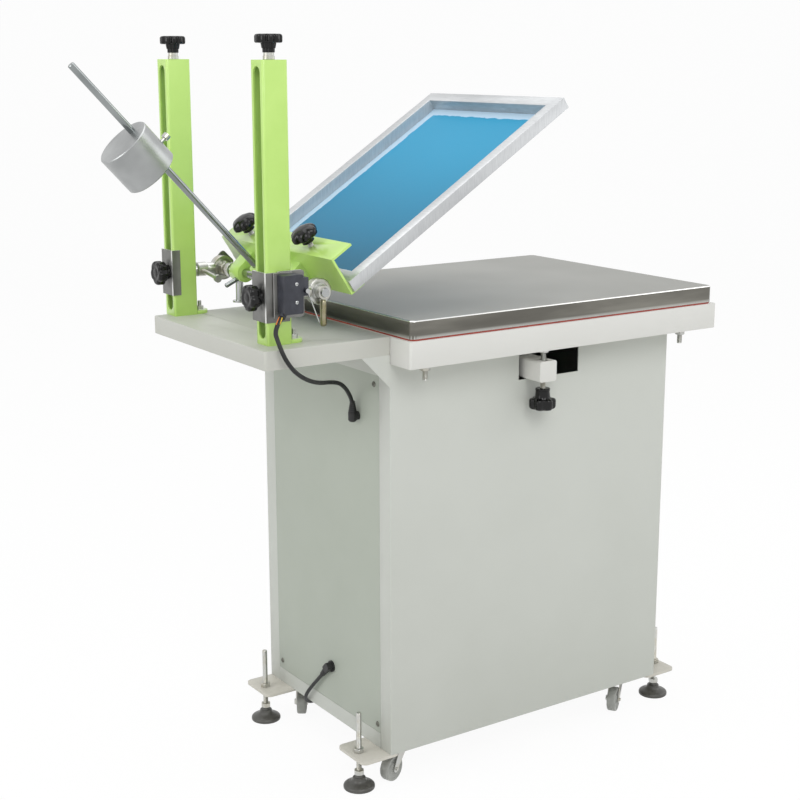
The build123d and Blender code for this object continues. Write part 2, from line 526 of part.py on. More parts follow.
# ---------------------------------------------------------------- columns
column_solids = []
bolt_solids = []
root_x, bend_x = COL_X0 + COL_L, COL_FOOT_X1 - COL_FOOT_R
for side, cy in COL_Y.items():
    mid_x = COL_X0 + COL_L / 2
    with BuildPart() as column:
        with BuildSketch(Plane.XY.offset(SHELF_TOP)):
            with Locations((mid_x, cy)):
                RectangleRounded(COL_L, COL_W, 4)
        extrude(amount=COL_TOP - SHELF_TOP)
        with BuildSketch(Plane.XY.offset(SHELF_TOP)):
            with Locations((mid_x, cy)):
                Rectangle(COL_L - 2 * COL_WALL, COL_W - 2 * COL_WALL)
        extrude(amount=COL_TOP - SHELF_TOP - COL_CAP_T, mode=Mode.SUBTRACT)
        with BuildSketch(Plane.XY.offset(SHELF_TOP)):
            with BuildLine():
                Line((root_x, cy - COL_FOOT_R), (bend_x, cy - COL_FOOT_R))
                ThreePointArc((bend_x, cy - COL_FOOT_R), (COL_FOOT_X1, cy), (bend_x, cy + COL_FOOT_R))
                Polyline((bend_x, cy + COL_FOOT_R), (root_x, cy + COL_FOOT_R), (root_x, cy - COL_FOOT_R))
            make_face()
        extrude(amount=COL_FOOT_T)
        with BuildSketch(Plane.XY.offset(SHELF_TOP)):
            with Locations((mid_x, cy)):
                Rectangle(COL_L - 2, COL_W - 2)
        extrude(amount=COL_FOOT_T)
        with BuildSketch(Plane.YZ.offset(COL_X0)):
            with Locations((cy, (SLOT_Z0 + SLOT_Z1) / 2)):
                SlotOverall(SLOT_Z1 - SLOT_Z0, SLOT_W, rotation=90)
        extrude(amount=COL_WALL, mode=Mode.SUBTRACT)
        with BuildSketch(Plane.YZ.offset(COL_X0 + COL_L - COL_WALL)):
            with Locations((cy, (SLOT_Z0 + SLOT_Z1) / 2)):
                SlotOverall(SLOT_Z1 - SLOT_Z0, BACK_SLOT_W, rotation=90)
        extrude(amount=COL_WALL, mode=Mode.SUBTRACT)
        with Locations((mid_x, cy, COL_TOP)):
            Hole(SCREW_R + FIT, depth=COL_CAP_T)
        with Locations((BOLT_X, cy, SHELF_TOP + COL_FOOT_T)):
            Hole(BOLT_HOLE_R, depth=COL_FOOT_T)
    column_solids.append(column.part)
    with BuildPart() as bolt:
        with BuildSketch(Plane.XY.offset(SHELF_TOP - SHELF_T - BOLT_NUT_T)):
            with Locations((BOLT_X, cy)):
                RegularPolygon(BOLT_HEX / 2, 6, major_radius=False)
        extrude(amount=BOLT_NUT_T)
        with BuildSketch(Plane.XY.offset(SHELF_TOP - SHELF_T)):
            with Locations((BOLT_X, cy)):
                Circle(BOLT_R)
        extrude(amount=BOLT_L)
        with BuildSketch(Plane.XY.offset(SHELF_TOP + COL_FOOT_T)):
            with Locations((BOLT_X, cy)):
                RegularPolygon(BOLT_HEX / 2, 6, major_radius=False)
        extrude(amount=BOLT_HEAD_T)
    bolt_solids.append(bolt.part)

    # leadscrew: hangs in the column's cap on its collar, and the knob turns it
    with BuildPart() as leadscrew:
        with BuildSketch(Plane.XY.offset(SLOT_Z0 + 2)):
            with Locations((mid_x, cy)):
                Circle(SCREW_R)
        extrude(amount=COL_TOP - SLOT_Z0 + SCREW_RISE)
        with BuildSketch(Plane.XY.offset(COL_TOP)):
            with Locations((mid_x, cy)):
                Circle(SCREW_COLLAR_R)
        extrude(amount=SCREW_COLLAR_T)
        with BuildSketch(Plane.XY.offset(COL_TOP + SCREW_COLLAR_T)):
            with Locations((mid_x, cy)):
                Circle(SCREW_NECK_R)
        extrude(amount=SCREW_NECK_T)
        with BuildSketch(Plane.XY.offset(COL_TOP - COL_CAP_T - SCREW_KEEPER_T)):
            with Locations((mid_x, cy)):
                Circle(SCREW_COLLAR_R)
        extrude(amount=SCREW_KEEPER_T)
    keep(leadscrew, f"leadscrew_{side}")
    seat = Plane((mid_x, cy, COL_TOP + SCREW_COLLAR_T + SCREW_NECK_T))
    with BuildPart() as height_knob:
        with BuildSketch(seat):
            Circle(10)
        with BuildSketch(seat.offset(HEIGHT_HUB_L)):
            Circle(13)
        loft()
        with BuildSketch(seat.offset(HEIGHT_HUB_L)):
            Circle(HEIGHT_HEAD_R)
            with PolarLocations(HEIGHT_HEAD_R * 1.05, 12):
                Circle(3.4, mode=Mode.SUBTRACT)
        extrude(amount=HEIGHT_HEAD_T)
        with BuildSketch(seat):
            Circle(SCREW_R)
        extrude(amount=KNOB_BORE_DEEP, mode=Mode.SUBTRACT)
        chamfer(faces().sort_by(Axis.Z)[-1].edges(), 1.5)
    keep(height_knob, f"height_knob_{side}")
keep(None, "columns", Compound(children=column_solids))
keep(None, "column_bolts", Compound(children=bolt_solids))

# ---------------------------------------------------------------- carriage
block_solids, plate_solids, rod_end_solids, nut_solids = [], [], [], []
BLOCK_X, BLOCK_Y = COL_L - 2 * COL_WALL - 2 * SLIDE, COL_W - 2 * COL_WALL - 2 * SLIDE
for side, cy in COL_Y.items():
    inward = 1 if side == "near" else -1
    mid_x = COL_X0 + COL_L / 2
    block_back, block_front = mid_x - BLOCK_X / 2, mid_x + BLOCK_X / 2
    with BuildPart() as slide_block:
        with BuildSketch(Plane.XY.offset(HINGE_Z - BLOCK_H / 2)):
            with Locations((mid_x, cy)):
                Rectangle(BLOCK_X, BLOCK_Y)
                Circle(SCREW_R + FIT, mode=Mode.SUBTRACT)
        extrude(amount=BLOCK_H)
        chamfer(edges().filter_by(Axis.Z), 1.5)
        with BuildSketch(Plane.YZ.offset(block_front - 10)):
            with Locations((cy, HINGE_Z)):
                Circle(SHAFT_R + FIT)
        extrude(amount=10, mode=Mode.SUBTRACT)
        with BuildSketch(Plane.YZ.offset(block_back)):
            with Locations((cy, HINGE_Z)):
                Circle(STUD_R + FIT)
        extrude(amount=8, mode=Mode.SUBTRACT)
    block_solids.append(slide_block.part)

    # plate folded round the column's back: where it has no cheek it ends at the column's face
    cheek_y = COL_W / 2 + CHEEK_GAP
    cheeks = CHEEK_LENGTHS[side]
    plate_y0, plate_y1 = (
        cy + way * (cheek_y + CHEEK_T if way in cheeks else COL_W / 2) for way in (-1, 1)
    )
    with BuildPart() as wrap_plate:
        with BuildSketch(Plane.XY.offset(HINGE_Z - PLATE_H / 2)):
            with Locations((COL_X0, plate_y0)):
                Rectangle(PLATE_T, plate_y1 - plate_y0, align=(Align.MAX, Align.MIN))
            for way, length in cheeks.items():
                with Locations((COL_X0 - PLATE_T, cy + way * (cheek_y + CHEEK_T / 2))):
                    Rectangle(length, CHEEK_T, align=(Align.MIN, Align.CENTER))
        extrude(amount=PLATE_H)
        with BuildSketch(Plane.YZ.offset(COL_X0 - PLATE_T)):
            with Locations((cy, HINGE_Z)):
                Circle(STUD_R + FIT)
        extrude(amount=PLATE_T, mode=Mode.SUBTRACT)
    plate_solids.append(wrap_plate.part)

    seat = Plane((COL_X0 - PLATE_T, cy, HINGE_Z), x_dir=(0, 1, 0), z_dir=(-1, 0, 0))
    reach = block_back + 7 - seat.origin.X
    grip = star_knob(seat, COLUMN_HEAD_R, COLUMN_HEAD_T, 11, 14, COLUMN_HUB_L, STUD_R, reach)
    keep(grip, f"column_knob_{side}")

    # rod end: shank from the block through the column's inner slot, neck, and an eye with
    # a race groove round the shoulder of its ball
    neck_x0 = COLLAR_X0 + COLLAR_L + 0.5
    eye_x0 = HINGE_X - EYE_R + 4
    with BuildPart() as rod_end:
        with BuildSketch(Plane.YZ.offset(block_front - SHANK_IN)):
            with Locations((cy, HINGE_Z)):
                Circle(SHAFT_R)
        extrude(amount=eye_x0 - block_front + SHANK_IN)
        with BuildSketch(Plane.YZ.offset(neck_x0)):
            with Locations((cy, HINGE_Z)):
                Circle(NECK_R)
        extrude(amount=eye_x0 - neck_x0)
        with BuildSketch(Plane.XZ.offset(-cy - EYE_W / 2)):
            with Locations((HINGE_X, HINGE_Z)):
                Circle(EYE_R)
        extrude(amount=EYE_W)
        chamfer(edges().filter_by(GeomType.CIRCLE).filter_by(lambda e: e.radius > EYE_R - 1), 1.5)
        for face_y, depth in ((cy - EYE_W / 2, -RACE_DEEP), (cy + EYE_W / 2, RACE_DEEP)):
            with BuildSketch(Plane.XZ.offset(-face_y)):
                with Locations((HINGE_X, HINGE_Z)):
                    Circle(RACE_R1)
                    Circle(RACE_R0, mode=Mode.SUBTRACT)
            extrude(amount=depth, mode=Mode.SUBTRACT)
        with BuildSketch(Plane.XZ.offset(-cy - EYE_W / 2 - BALL_OUT)):
            with Locations((HINGE_X, HINGE_Z)):
                Circle(BALL_R)
        extrude(amount=EYE_W + 2 * BALL_OUT)
        with BuildSketch(Plane.XZ.offset(-cy - EYE_W / 2 - BALL_OUT)):
            with Locations((HINGE_X, HINGE_Z)):
                Circle(SHAFT_R + FIT)
        extrude(amount=EYE_W + 2 * BALL_OUT, mode=Mode.SUBTRACT)
    rod_end_solids.append(rod_end.part)

    # collar on the shank, turned with its tommy bar
    tommy_dir = Vector(0, inward * cos(radians(TOMMY_DROP)), -sin(radians(TOMMY_DROP)))
    collar_c = Vector(COLLAR_X0 + COLLAR_L / 2, cy, HINGE_Z)
    bar = Plane(collar_c, x_dir=(1, 0, 0), z_dir=tommy_dir)
    with BuildPart() as collar:
        with BuildSketch(Plane.YZ.offset(COLLAR_X0)):
            with Locations((cy, HINGE_Z)):
                Circle(COLLAR_R)
        extrude(amount=COLLAR_L)
        chamfer(edges().filter_by(GeomType.CIRCLE), 1.5)
        with BuildSketch(bar.offset(COLLAR_R - 3)):
            Circle(TOMMY_R)
        extrude(amount=TOMMY_LEN - COLLAR_R - 3)
        with BuildSketch(bar.offset(TOMMY_LEN - 6)):
            Circle(7)
        extrude(amount=6)
        with BuildSketch(Plane.YZ.offset(COLLAR_X0)):
            with Locations((cy, HINGE_Z)):
                Circle(SHAFT_R + FIT)
        extrude(amount=COLLAR_L, mode=Mode.SUBTRACT)
    keep(collar, f"adjust_collar_{side}")

    # two nuts on the shaft: one against the ball, one further in
    ball_face = cy + inward * (EYE_W / 2 + BALL_OUT)
    for n in range(2):
        start = ball_face + inward * n * NUT_STEP
        seat = Plane((HINGE_X, start, HINGE_Z), x_dir=(1, 0, 0), z_dir=(0, inward, 0))
        nut_solids.append(hex_ring(seat, NUT_ACROSS, NUT_T, SHAFT_R + FIT).part)

# thrust plate and end nut outside the far eye
THRUST_Y0 = COL_Y["far"] + EYE_W / 2 + BALL_OUT
with BuildPart() as thrust_plate:
    with BuildSketch(Plane((HINGE_X, THRUST_Y0, HINGE_Z), x_dir=(1, 0, 1), z_dir=(0, -1, 0))):
        with Locations(((THRUST_S0 + THRUST_S1) / 2, 0)):
            RectangleRounded(THRUST_S1 - THRUST_S0, THRUST_W, THRUST_CORNER)
        Circle(SHAFT_R + FIT, mode=Mode.SUBTRACT)
    extrude(amount=-THRUST_T)
end_nut_seat = Plane((HINGE_X, THRUST_Y0 + THRUST_T, HINGE_Z), x_dir=(1, 0, 0), z_dir=(0, 1, 0))
nut_solids.append(thrust_plate.part)
nut_solids.append(hex_ring(end_nut_seat, NUT_ACROSS, NUT_T, SHAFT_R + FIT).part)

# carrier of the limit switch, on the near wrap plate's outer cheek
SWITCH_X0, SWITCH_X1 = -331.0, -296.0
CHEEK_OUT_Y = COL_Y["near"] - COL_W / 2 - CHEEK_GAP - CHEEK_T
CARRIER_X0, CARRIER_L, CARRIER_H, CARRIER_T = COL_X0 + 14, 52.0, 78.0, 3.0
SPACER_X0, SPACER_L, SPACER_H, SPACER_T = COL_X0 + 8, 34.0, 74.0, 2.5
CARRIER_Z = HINGE_Z + 4
with BuildPart() as switch_plate:
    with BuildSketch(Plane.XZ.offset(-CHEEK_OUT_Y)):
        with Locations((CARRIER_X0 + CARRIER_L / 2, CARRIER_Z)):
            RectangleRounded(CARRIER_L, CARRIER_H, 6)
    extrude(amount=CARRIER_T)
    with BuildSketch(Plane.XZ.offset(-CHEEK_OUT_Y + CARRIER_T)):
        with Locations((SPACER_X0 + SPACER_L / 2, CARRIER_Z)):
            Rectangle(SPACER_L, SPACER_H)
    extrude(amount=SPACER_T)
plate_solids.append(switch_plate.part)
keep(None, "slide_blocks", Compound(children=block_solids))
keep(None, "wrap_plates", Compound(children=plate_solids))
keep(None, "rod_ends", Compound(children=rod_end_solids))
keep(None, "hinge_nuts", Compound(children=nut_solids))

with BuildPart() as hinge_shaft:
    with BuildSketch(Plane.XZ.offset(-SHAFT_Y0)):
        with Locations((HINGE_X, HINGE_Z)):
            Circle(SHAFT_R)
    extrude(amount=-(SHAFT_Y1 - SHAFT_Y0))
    chamfer(edges().filter_by(GeomType.CIRCLE), 1.5)
keep(hinge_shaft, "hinge_shaft")

# lever nut on the shaft's near end
LEVER_Y1 = COL_Y["near"] - EYE_W / 2 - BALL_OUT - 0.5
LEVER_Y0 = LEVER_Y1 - 12.0
LEVER_Z = HINGE_Z - 58.0
with BuildPart() as shaft_lever:
    with BuildSketch(Plane.XZ.offset(-LEVER_Y1)):
        with Locations((HINGE_X, HINGE_Z)):
            Circle(12)
    extrude(amount=LEVER_Y1 - LEVER_Y0)
    chamfer(edges().filter_by(GeomType.CIRCLE), 1)
    with BuildSketch(Plane.XY.offset(LEVER_Z)):
        with Locations((HINGE_X, (LEVER_Y0 + LEVER_Y1) / 2)):
            Circle(4.5)
    extrude(amount=HINGE_Z - 10 - LEVER_Z)
    with BuildSketch(Plane.XZ.offset(-LEVER_Y1)):
        with Locations((HINGE_X, HINGE_Z)):
            Circle(SHAFT_R + FIT)
    extrude(amount=LEVER_Y1 - LEVER_Y0, mode=Mode.SUBTRACT)
keep(shaft_lever, "shaft_lever")

# limit switch, its cable leaving the lower back corner through a short gland
SWITCH_Y1 = CHEEK_OUT_Y - CARRIER_T - SPACER_T
CABLE_OFFSETS = [
    (-331.0, -40.8, 891.5), (-349.6, -49.0, 874.5), (-351.6, -64.0, 857.9), (-346.6, -73.0, 834.7),
    (-332.9, -72.0, 813.8), (-312.0, -64.0, 796.3), (-282.2, -46.0, 780.8), (-249.3, -24.0, 769.7),
    (-214.4, 0.0, 762.9), (-184.5, 20.0, 754.0), (-164.0, 33.0, 740.0), (-150.0, 42.0, 723.5),
    (-142.0, 46.0, 708.0), (-142.0, 46.0, 693.0),
]
CABLE_ROUTE = [(x, COL_Y["near"] + y, z) for x, y, z in CABLE_OFFSETS]
SWITCH_EXIT = Vector(*CABLE_ROUTE[0])
EXIT_DIR = (Vector(*CABLE_ROUTE[1]) - SWITCH_EXIT).normalized()
with BuildPart() as limit_switch:
    with BuildSketch(Plane.XZ.offset(-SWITCH_Y1)):
        with Locations(((SWITCH_X0 + SWITCH_X1) / 2, 929)):
            RectangleRounded(SWITCH_X1 - SWITCH_X0, 64, 3)
    extrude(amount=24)
    with BuildSketch(Plane.YZ.offset(SWITCH_X1)):
        with Locations((SWITCH_Y1 - 12, 940)):
            Rectangle(17, 30)
    extrude(amount=12)
    with BuildSketch(Plane.XZ.offset(-SWITCH_Y1 + 20.5)):
        with Locations((SWITCH_X1 + 6, 934)):
            Circle(4)
    extrude(amount=4)
    with BuildSketch(Plane(SWITCH_EXIT, x_dir=(0, 1, 0), z_dir=EXIT_DIR)):
        Circle(6)
    extrude(amount=-14)
keep(limit_switch, "limit_switch")

WAND_X, WAND_Y, WAND_Z = SWITCH_X1 + 6, SWITCH_Y1 - 24.5, 934.0
wand_dir = Vector(22, 0, -55).normalized()
with BuildPart() as switch_wand:
    with BuildSketch(Plane((WAND_X, WAND_Y, WAND_Z), x_dir=(1, 0, 0), z_dir=(0, -1, 0))):
        Circle(4)
    extrude(amount=4)
    with BuildSketch(Plane((WAND_X, WAND_Y - 2, WAND_Z), x_dir=(0, 1, 0), z_dir=wand_dir)):
        Circle(1)
    extrude(amount=58)
keep(switch_wand, "switch_wand")

# ---------------------------------------------------------------- tilting screen
U = Vector(cos(radians(TILT)), 0, sin(radians(TILT)))
N = Vector(-sin(radians(TILT)), 0, cos(radians(TILT)))
HINGE = Vector(HINGE_X, 0, HINGE_Z)


def section(y):
    """The plane square to the hinge at one Y: sketch x is s, sketch y is n."""
    return Plane(HINGE + Vector(0, y, 0), x_dir=U, z_dir=(0, -1, 0))


def on_screen(n, s=0.0, y=0.0):
    """A plane parallel to the screen at height n: sketch x is s, sketch y is Y."""
    return Plane(HINGE + U * s + N * n + Vector(0, y, 0), x_dir=U, z_dir=N)


LIP_N = SCREEN_TOP_N - SCREEN_H - MESH_T
with BuildPart() as clamp_bracket:
    with BuildSketch(section(CLAMP_Y1)):
        with BuildLine():
            Polyline(
                (CLAMP_S0, LIP_N - CLAMP_T), (CLAMP_S0 + CLAMP_LIP, LIP_N - CLAMP_T),
                (CLAMP_S0 + CLAMP_LIP, LIP_N), (CLAMP_S0 + CLAMP_T, LIP_N),
                (CLAMP_S0 + CLAMP_T, CLAMP_TOP_N - CLAMP_T),
                (CLAMP_S0 + CLAMP_FLANGE, CLAMP_TOP_N - CLAMP_T),
                (CLAMP_S0 + CLAMP_FLANGE, CLAMP_TOP_N), (CLAMP_S0, CLAMP_TOP_N), close=True,
            )
        make_face()
    extrude(amount=CLAMP_Y1 - CLAMP_Y0)
    for y0 in HUB_Y.values():
        with BuildSketch(section(y0 + HUB_L)):
            Circle(HUB_R)
            with BuildLine():
                Polyline(
                    (0, HUB_R), (CLAMP_S0, HUB_R + 6), (CLAMP_S0, -HUB_R), (0, -HUB_R), close=True,
                )
            make_face()
        extrude(amount=HUB_L)
    with BuildSketch(section(ROD_Y + ROD_HUB_L / 2)):
        Circle(HUB_R)
        with BuildLine():
            Polyline((0, HUB_R), (CLAMP_S0, HUB_R + 6), (CLAMP_S0, -HUB_R), (0, -HUB_R), close=True)
        make_face()
    extrude(amount=ROD_HUB_L)
    rod_dir = Vector(cos(radians(ROD_ANGLE)), 0, sin(radians(ROD_ANGLE)))
    rod_root = HINGE + Vector(0, ROD_Y, 0)
    with BuildSketch(Plane(rod_root, x_dir=(0, 1, 0), z_dir=rod_dir)):
        Circle(SOCKET_R)
    extrude(amount=SOCKET_L)
    for y0 in HUB_Y.values():
        with BuildSketch(section(y0 + HUB_L)):
            Circle(SHAFT_R + FIT)
        extrude(amount=HUB_L, mode=Mode.SUBTRACT)
    with BuildSketch(section(ROD_Y + ROD_HUB_L / 2)):
        Circle(SHAFT_R + FIT)
    extrude(amount=ROD_HUB_L, mode=Mode.SUBTRACT)
    with BuildSketch(Plane(rod_root + rod_dir * (ROD_FROM - 1), x_dir=(0, 1, 0), z_dir=rod_dir)):
        Circle(ROD_R + FIT)
    extrude(amount=40, mode=Mode.SUBTRACT)
    for ky in KNOB_Y.values():
        with BuildSketch(on_screen(CLAMP_TOP_N - CLAMP_T, KNOB_S, ky)):
            Circle(STUD_R + FIT)
        extrude(amount=CLAMP_T, mode=Mode.SUBTRACT)
    # bore for the hub's brake screw, straight down at rest, and for the pin beside it
    with BuildSketch(Plane((HINGE_X, BRAKE_Y, HINGE_Z), x_dir=(1, 0, 0), z_dir=(0, 0, -1))):
        Circle(BRAKE_R + FIT)
    extrude(amount=HUB_R + 3, mode=Mode.SUBTRACT)
    pin_dir = Vector(cos(radians(PIN_ANGLE)), 0, sin(radians(PIN_ANGLE)))
    pin_root = HINGE + Vector(PIN_OFF[0], PIN_Y, PIN_OFF[1]) + pin_dir * PIN_FROM
    pin_plane = Plane(pin_root, x_dir=(0, 1, 0), z_dir=pin_dir)
    with BuildSketch(pin_plane):
        Circle(PIN_R + FIT)
    extrude(amount=HUB_R, mode=Mode.SUBTRACT)
keep(clamp_bracket, "clamp_bracket")

BRAKE_Z0 = HINGE_Z - BRAKE_DROP
with BuildPart() as brake_screw:
    with BuildSketch(Plane.XY.offset(BRAKE_Z0)):
        with Locations((HINGE_X, BRAKE_Y)):
            Circle(BRAKE_DISC_R)
    extrude(amount=BRAKE_DISC_T)
    with BuildSketch(Plane.XY.offset(BRAKE_Z0)):
        with Locations((HINGE_X, BRAKE_Y)):
            Circle(BRAKE_BARREL_R)
    extrude(amount=BRAKE_DROP - HUB_R - 1.5)
    with BuildSketch(Plane.XY.offset(BRAKE_Z0)):
        with Locations((HINGE_X, BRAKE_Y)):
            Circle(BRAKE_R)
    extrude(amount=BRAKE_DROP - SHAFT_R - 0.3)
keep(brake_screw, "brake_screw")

for side, ky in KNOB_Y.items():
    seat = on_screen(CLAMP_TOP_N + FRAME_STUD_BARE, KNOB_S, ky)
    reach = CLAMP_TOP_N + FRAME_STUD_BARE - SCREEN_TOP_N - 4
    pressed = star_knob(
        seat, FRAME_HEAD_R, FRAME_HEAD_T, 11, 13, FRAME_HUB_L, STUD_R, reach, lobes=6
    )
    with BuildPart() as frame_knob:
        add(pressed.part)
        with BuildSketch(on_screen(SCREEN_TOP_N, KNOB_S, ky)):
            Circle(PAD_R)
        extrude(amount=PAD_T)
    keep(frame_knob, f"frame_knob_{side}")

with BuildPart() as screen_frame:
    with BuildSketch(on_screen(SCREEN_TOP_N - SCREEN_H)):
        with Locations((SCREEN_S0 + SCREEN_L / 2, 0)):
            Rectangle(SCREEN_L, 2 * SCREEN_HALF_Y)
            Rectangle(SCREEN_L - 2 * RAIL_W, 2 * (SCREEN_HALF_Y - RAIL_W), mode=Mode.SUBTRACT)
    extrude(amount=SCREEN_H)
    with BuildSketch(on_screen(SCREEN_TOP_N - SCREEN_H + RAIL_T)):
        with Locations((SCREEN_S0 + SCREEN_L / 2, 0)):
            Rectangle(SCREEN_L - 2 * RAIL_T, 2 * (SCREEN_HALF_Y - RAIL_T))
            Rectangle(
                SCREEN_L - 2 * RAIL_W + 2 * RAIL_T, 2 * (SCREEN_HALF_Y - RAIL_W + RAIL_T),
                mode=Mode.SUBTRACT,
            )
    extrude(amount=SCREEN_H - 2 * RAIL_T, mode=Mode.SUBTRACT)
keep(screen_frame, "screen_frame")

with BuildPart() as screen_mesh:
    with BuildSketch(on_screen(SCREEN_TOP_N - SCREEN_H - MESH_T)):
        with Locations((SCREEN_S0 + SCREEN_L / 2, 0)):
            Rectangle(SCREEN_L - 4, 2 * SCREEN_HALF_Y - 4)
    extrude(amount=MESH_T)
keep(screen_mesh, "screen_mesh")

# ---------------------------------------------------------------- counterweight
rod_plane = Plane(rod_root, x_dir=(0, 1, 0), z_dir=rod_dir)
with BuildPart() as counterweight_rod:
    with BuildSketch(rod_plane.offset(ROD_FROM)):
        Circle(ROD_R)
    extrude(amount=ROD_TO - ROD_FROM)
    chamfer(edges().filter_by(GeomType.CIRCLE), 1)
with BuildPart() as hub_pin:
    with BuildSketch(pin_plane):
        Circle(PIN_R)
    extrude(amount=PIN_TO - PIN_FROM)
    chamfer(edges().filter_by(GeomType.CIRCLE), 1)
keep(None, "counterweight_rod", Compound(children=[counterweight_rod.part, hub_pin.part]))

# sketch y of the rod's plane points down and back, so the weight hangs below its rod
across = rod_plane.y_dir
away = 1 if across.Z < 0 else -1
THUMB_AT = 312.0
thumb_dir = across * -away
thumb_root = rod_root + rod_dir * THUMB_AT
with BuildPart() as counterweight:
    with BuildSketch(rod_plane.offset(WEIGHT_R0)):
        with Locations((0, away * WEIGHT_OFF)):
            Circle(WEIGHT_R)
    extrude(amount=WEIGHT_R1 - WEIGHT_R0)
    chamfer(edges().filter_by(GeomType.CIRCLE), 1.5)
    with BuildSketch(rod_plane.offset(WEIGHT_R0)):
        Circle(ROD_R + FIT)
    extrude(amount=WEIGHT_R1 - WEIGHT_R0, mode=Mode.SUBTRACT)
    with BuildSketch(Plane(thumb_root, x_dir=(0, 1, 0), z_dir=thumb_dir)):
        Circle(3 + FIT)
    extrude(amount=40, mode=Mode.SUBTRACT)
keep(counterweight, "counterweight")

thumb_seat = Plane(thumb_root, x_dir=(0, 1, 0), z_dir=thumb_dir)
with BuildPart() as weight_screw:
    with BuildSketch(thumb_seat.offset(ROD_R + 0.3)):
        Circle(3)
    extrude(amount=38 - ROD_R)
    with BuildSketch(thumb_seat.offset(33)):
        Circle(6.5)
    extrude(amount=8)
keep(weight_screw, "weight_screw")


# ---------------------------------------------------------------- cables
def route_radii(points, label):
    """Each bend as large as its two runs allow."""
    radii = []
    for before, at, after in zip(points, points[1:], points[2:]):
        a, b = Vector(*at) - Vector(*before), Vector(*after) - Vector(*at)
        turn = radians(a.get_angle(b))
        radii.append(0.45 * min(a.length, b.length) / tan(turn / 2))
    print(label, "bend radii", [round(r) for r in radii])
    return radii


def tube(points, radius, label):
    with BuildPart() as cord:
        with BuildLine() as path:
            FilletPolyline(*points, radius=route_radii(points, label))
        start = Vector(*points[0])
        with BuildSketch(Plane(start, z_dir=Vector(*points[1]) - start)):
            Circle(radius)
        sweep()
    length = sum(edge.length for edge in path.edges())
    print(label, "length", round(length), "volume", round(cord.part.volume),
          "section by length", round(pi * radius**2 * length))
    return cord.part


keep(None, "switch_cable", tube(CABLE_ROUTE, CABLE_R, "switch cable"))

# elbow gland that takes the switch cable into the end panel
GLAND_X = CABLE_ROUTE[-1][0]
GLAND_TOP = CABLE_ROUTE[-1][2]
with BuildPart() as cable_gland:
    with BuildSketch(Plane.XZ):
        with BuildLine():
            Polyline((0, 0), (0, -19), (5, -19), (8, -16), (8, -3), (5.5, 0), close=True)
        make_face()
    revolve(axis=Axis.Z)
gland_solid = cable_gland.part.moved(Location((GLAND_X, CABLE_HOLE_Y, GLAND_TOP)))
with BuildPart() as elbow_gland:
    add(gland_solid)
    with BuildSketch(Plane.YZ.offset(GLAND_X)):
        with Locations((CABLE_HOLE_Y, CABLE_HOLE_Z)):
            Circle(CABLE_HOLE_R - FIT)
    extrude(amount=in_x0 - GLAND_X + 6)
    with BuildSketch(Plane.YZ.offset(in_x0)):
        with Locations((CABLE_HOLE_Y, CABLE_HOLE_Z)):
            RegularPolygon(11, 6, major_radius=False)
    extrude(amount=4)

# bushing of the mains cord, which leads it down and across the end panel
CORD_ROUTE = [
    (-139.0, -6.2, 164.2), (-139.0, 18.0, 140.0), (-141.0, 40.0, 117.0), (-143.0, 59.0, 95.5),
    (-141.0, 73.0, 77.0), (-129.0, 83.0, 61.5), (-108.0, 89.0, 56.0), (-72.0, 94.0, 56.0),
    (-8.0, 100.0, 56.0), (62.0, 101.0, 56.0), (118.0, 105.0, 56.0), (160.0, 104.0, 55.0),
    (192.0, 99.5, 48.0), (218.0, 91.0, 36.5), (244.0, 80.5, 22.5), (268.0, 69.5, 10.9),
]
CLIPPED_RUNS = (7, 9, 10)
CLIP_L, CLIP_WALL, CLIP_PLAY, CLIP_STEM = 8.0, 1.7, 0.3, 4.0
COIL_X, COIL_Y, COIL_MID_R = 291.0, 113.0, 42.0
COIL_W, COIL_H = 22.0, 14.4
BUSH_L, BUSH_W, BUSH_DEEP = 19.0, 14.0, 14.5
# the body's end face stands where the cord begins, square to its first run
bush_mid_y = CORD_ROUTE[0][1] - BUSH_L / 2 * cos(pi / 4)
bush_mid_z = CORD_ROUTE[0][2] + BUSH_L / 2 * sin(pi / 4)
with BuildPart() as cord_bushing:
    with BuildSketch(Plane.YZ.offset(CAB_X0 - 3)):
        with Locations((CORD_HOLE_Y, CORD_HOLE_Z)):
            Circle(11)
    extrude(amount=3)
    with BuildSketch(Plane.YZ.offset(CAB_X0 - BUSH_DEEP)):
        with Locations((bush_mid_y, bush_mid_z)):
            RectangleRounded(BUSH_L, BUSH_W, 3, rotation=-45)
    extrude(amount=BUSH_DEEP)
    with BuildSketch(Plane.YZ.offset(CAB_X0 - 3)):
        with Locations((CORD_HOLE_Y, CORD_HOLE_Z)):
            Circle(CORD_HOLE_R - FIT)
    extrude(amount=3 + SHEET + 3)

def cord_clip(n):
    """A ring round the middle of one run of the cord, on a stem under the base pan."""
    before, after = Vector(*CORD_ROUTE[n]), Vector(*CORD_ROUTE[n + 1])
    mid, along = (before + after) * 0.5, (after - before).normalized()
    ring = Plane(mid - along * (CLIP_L / 2), x_dir=(0, 1, 0), z_dir=along)
    bore_r = CORD_R + CLIP_PLAY
    with BuildPart() as clip:
        with BuildSketch(ring):
            Circle(bore_r + CLIP_WALL)
        extrude(amount=CLIP_L)
        with BuildSketch(Plane.XY.offset(mid.Z + bore_r)):
            with Locations((mid.X, mid.Y)):
                Rectangle(CLIP_L, CLIP_STEM)
        extrude(amount=CAB_Z0 - mid.Z - bore_r)
        with BuildSketch(ring.offset(-1)):
            Circle(bore_r)
        extrude(amount=CLIP_L + 2, mode=Mode.SUBTRACT)
    return clip.part


clip_solids = [cord_clip(n) for n in CLIPPED_RUNS]
keep(None, "cable_glands", Compound(children=[elbow_gland.part, cord_bushing.part, *clip_solids]))

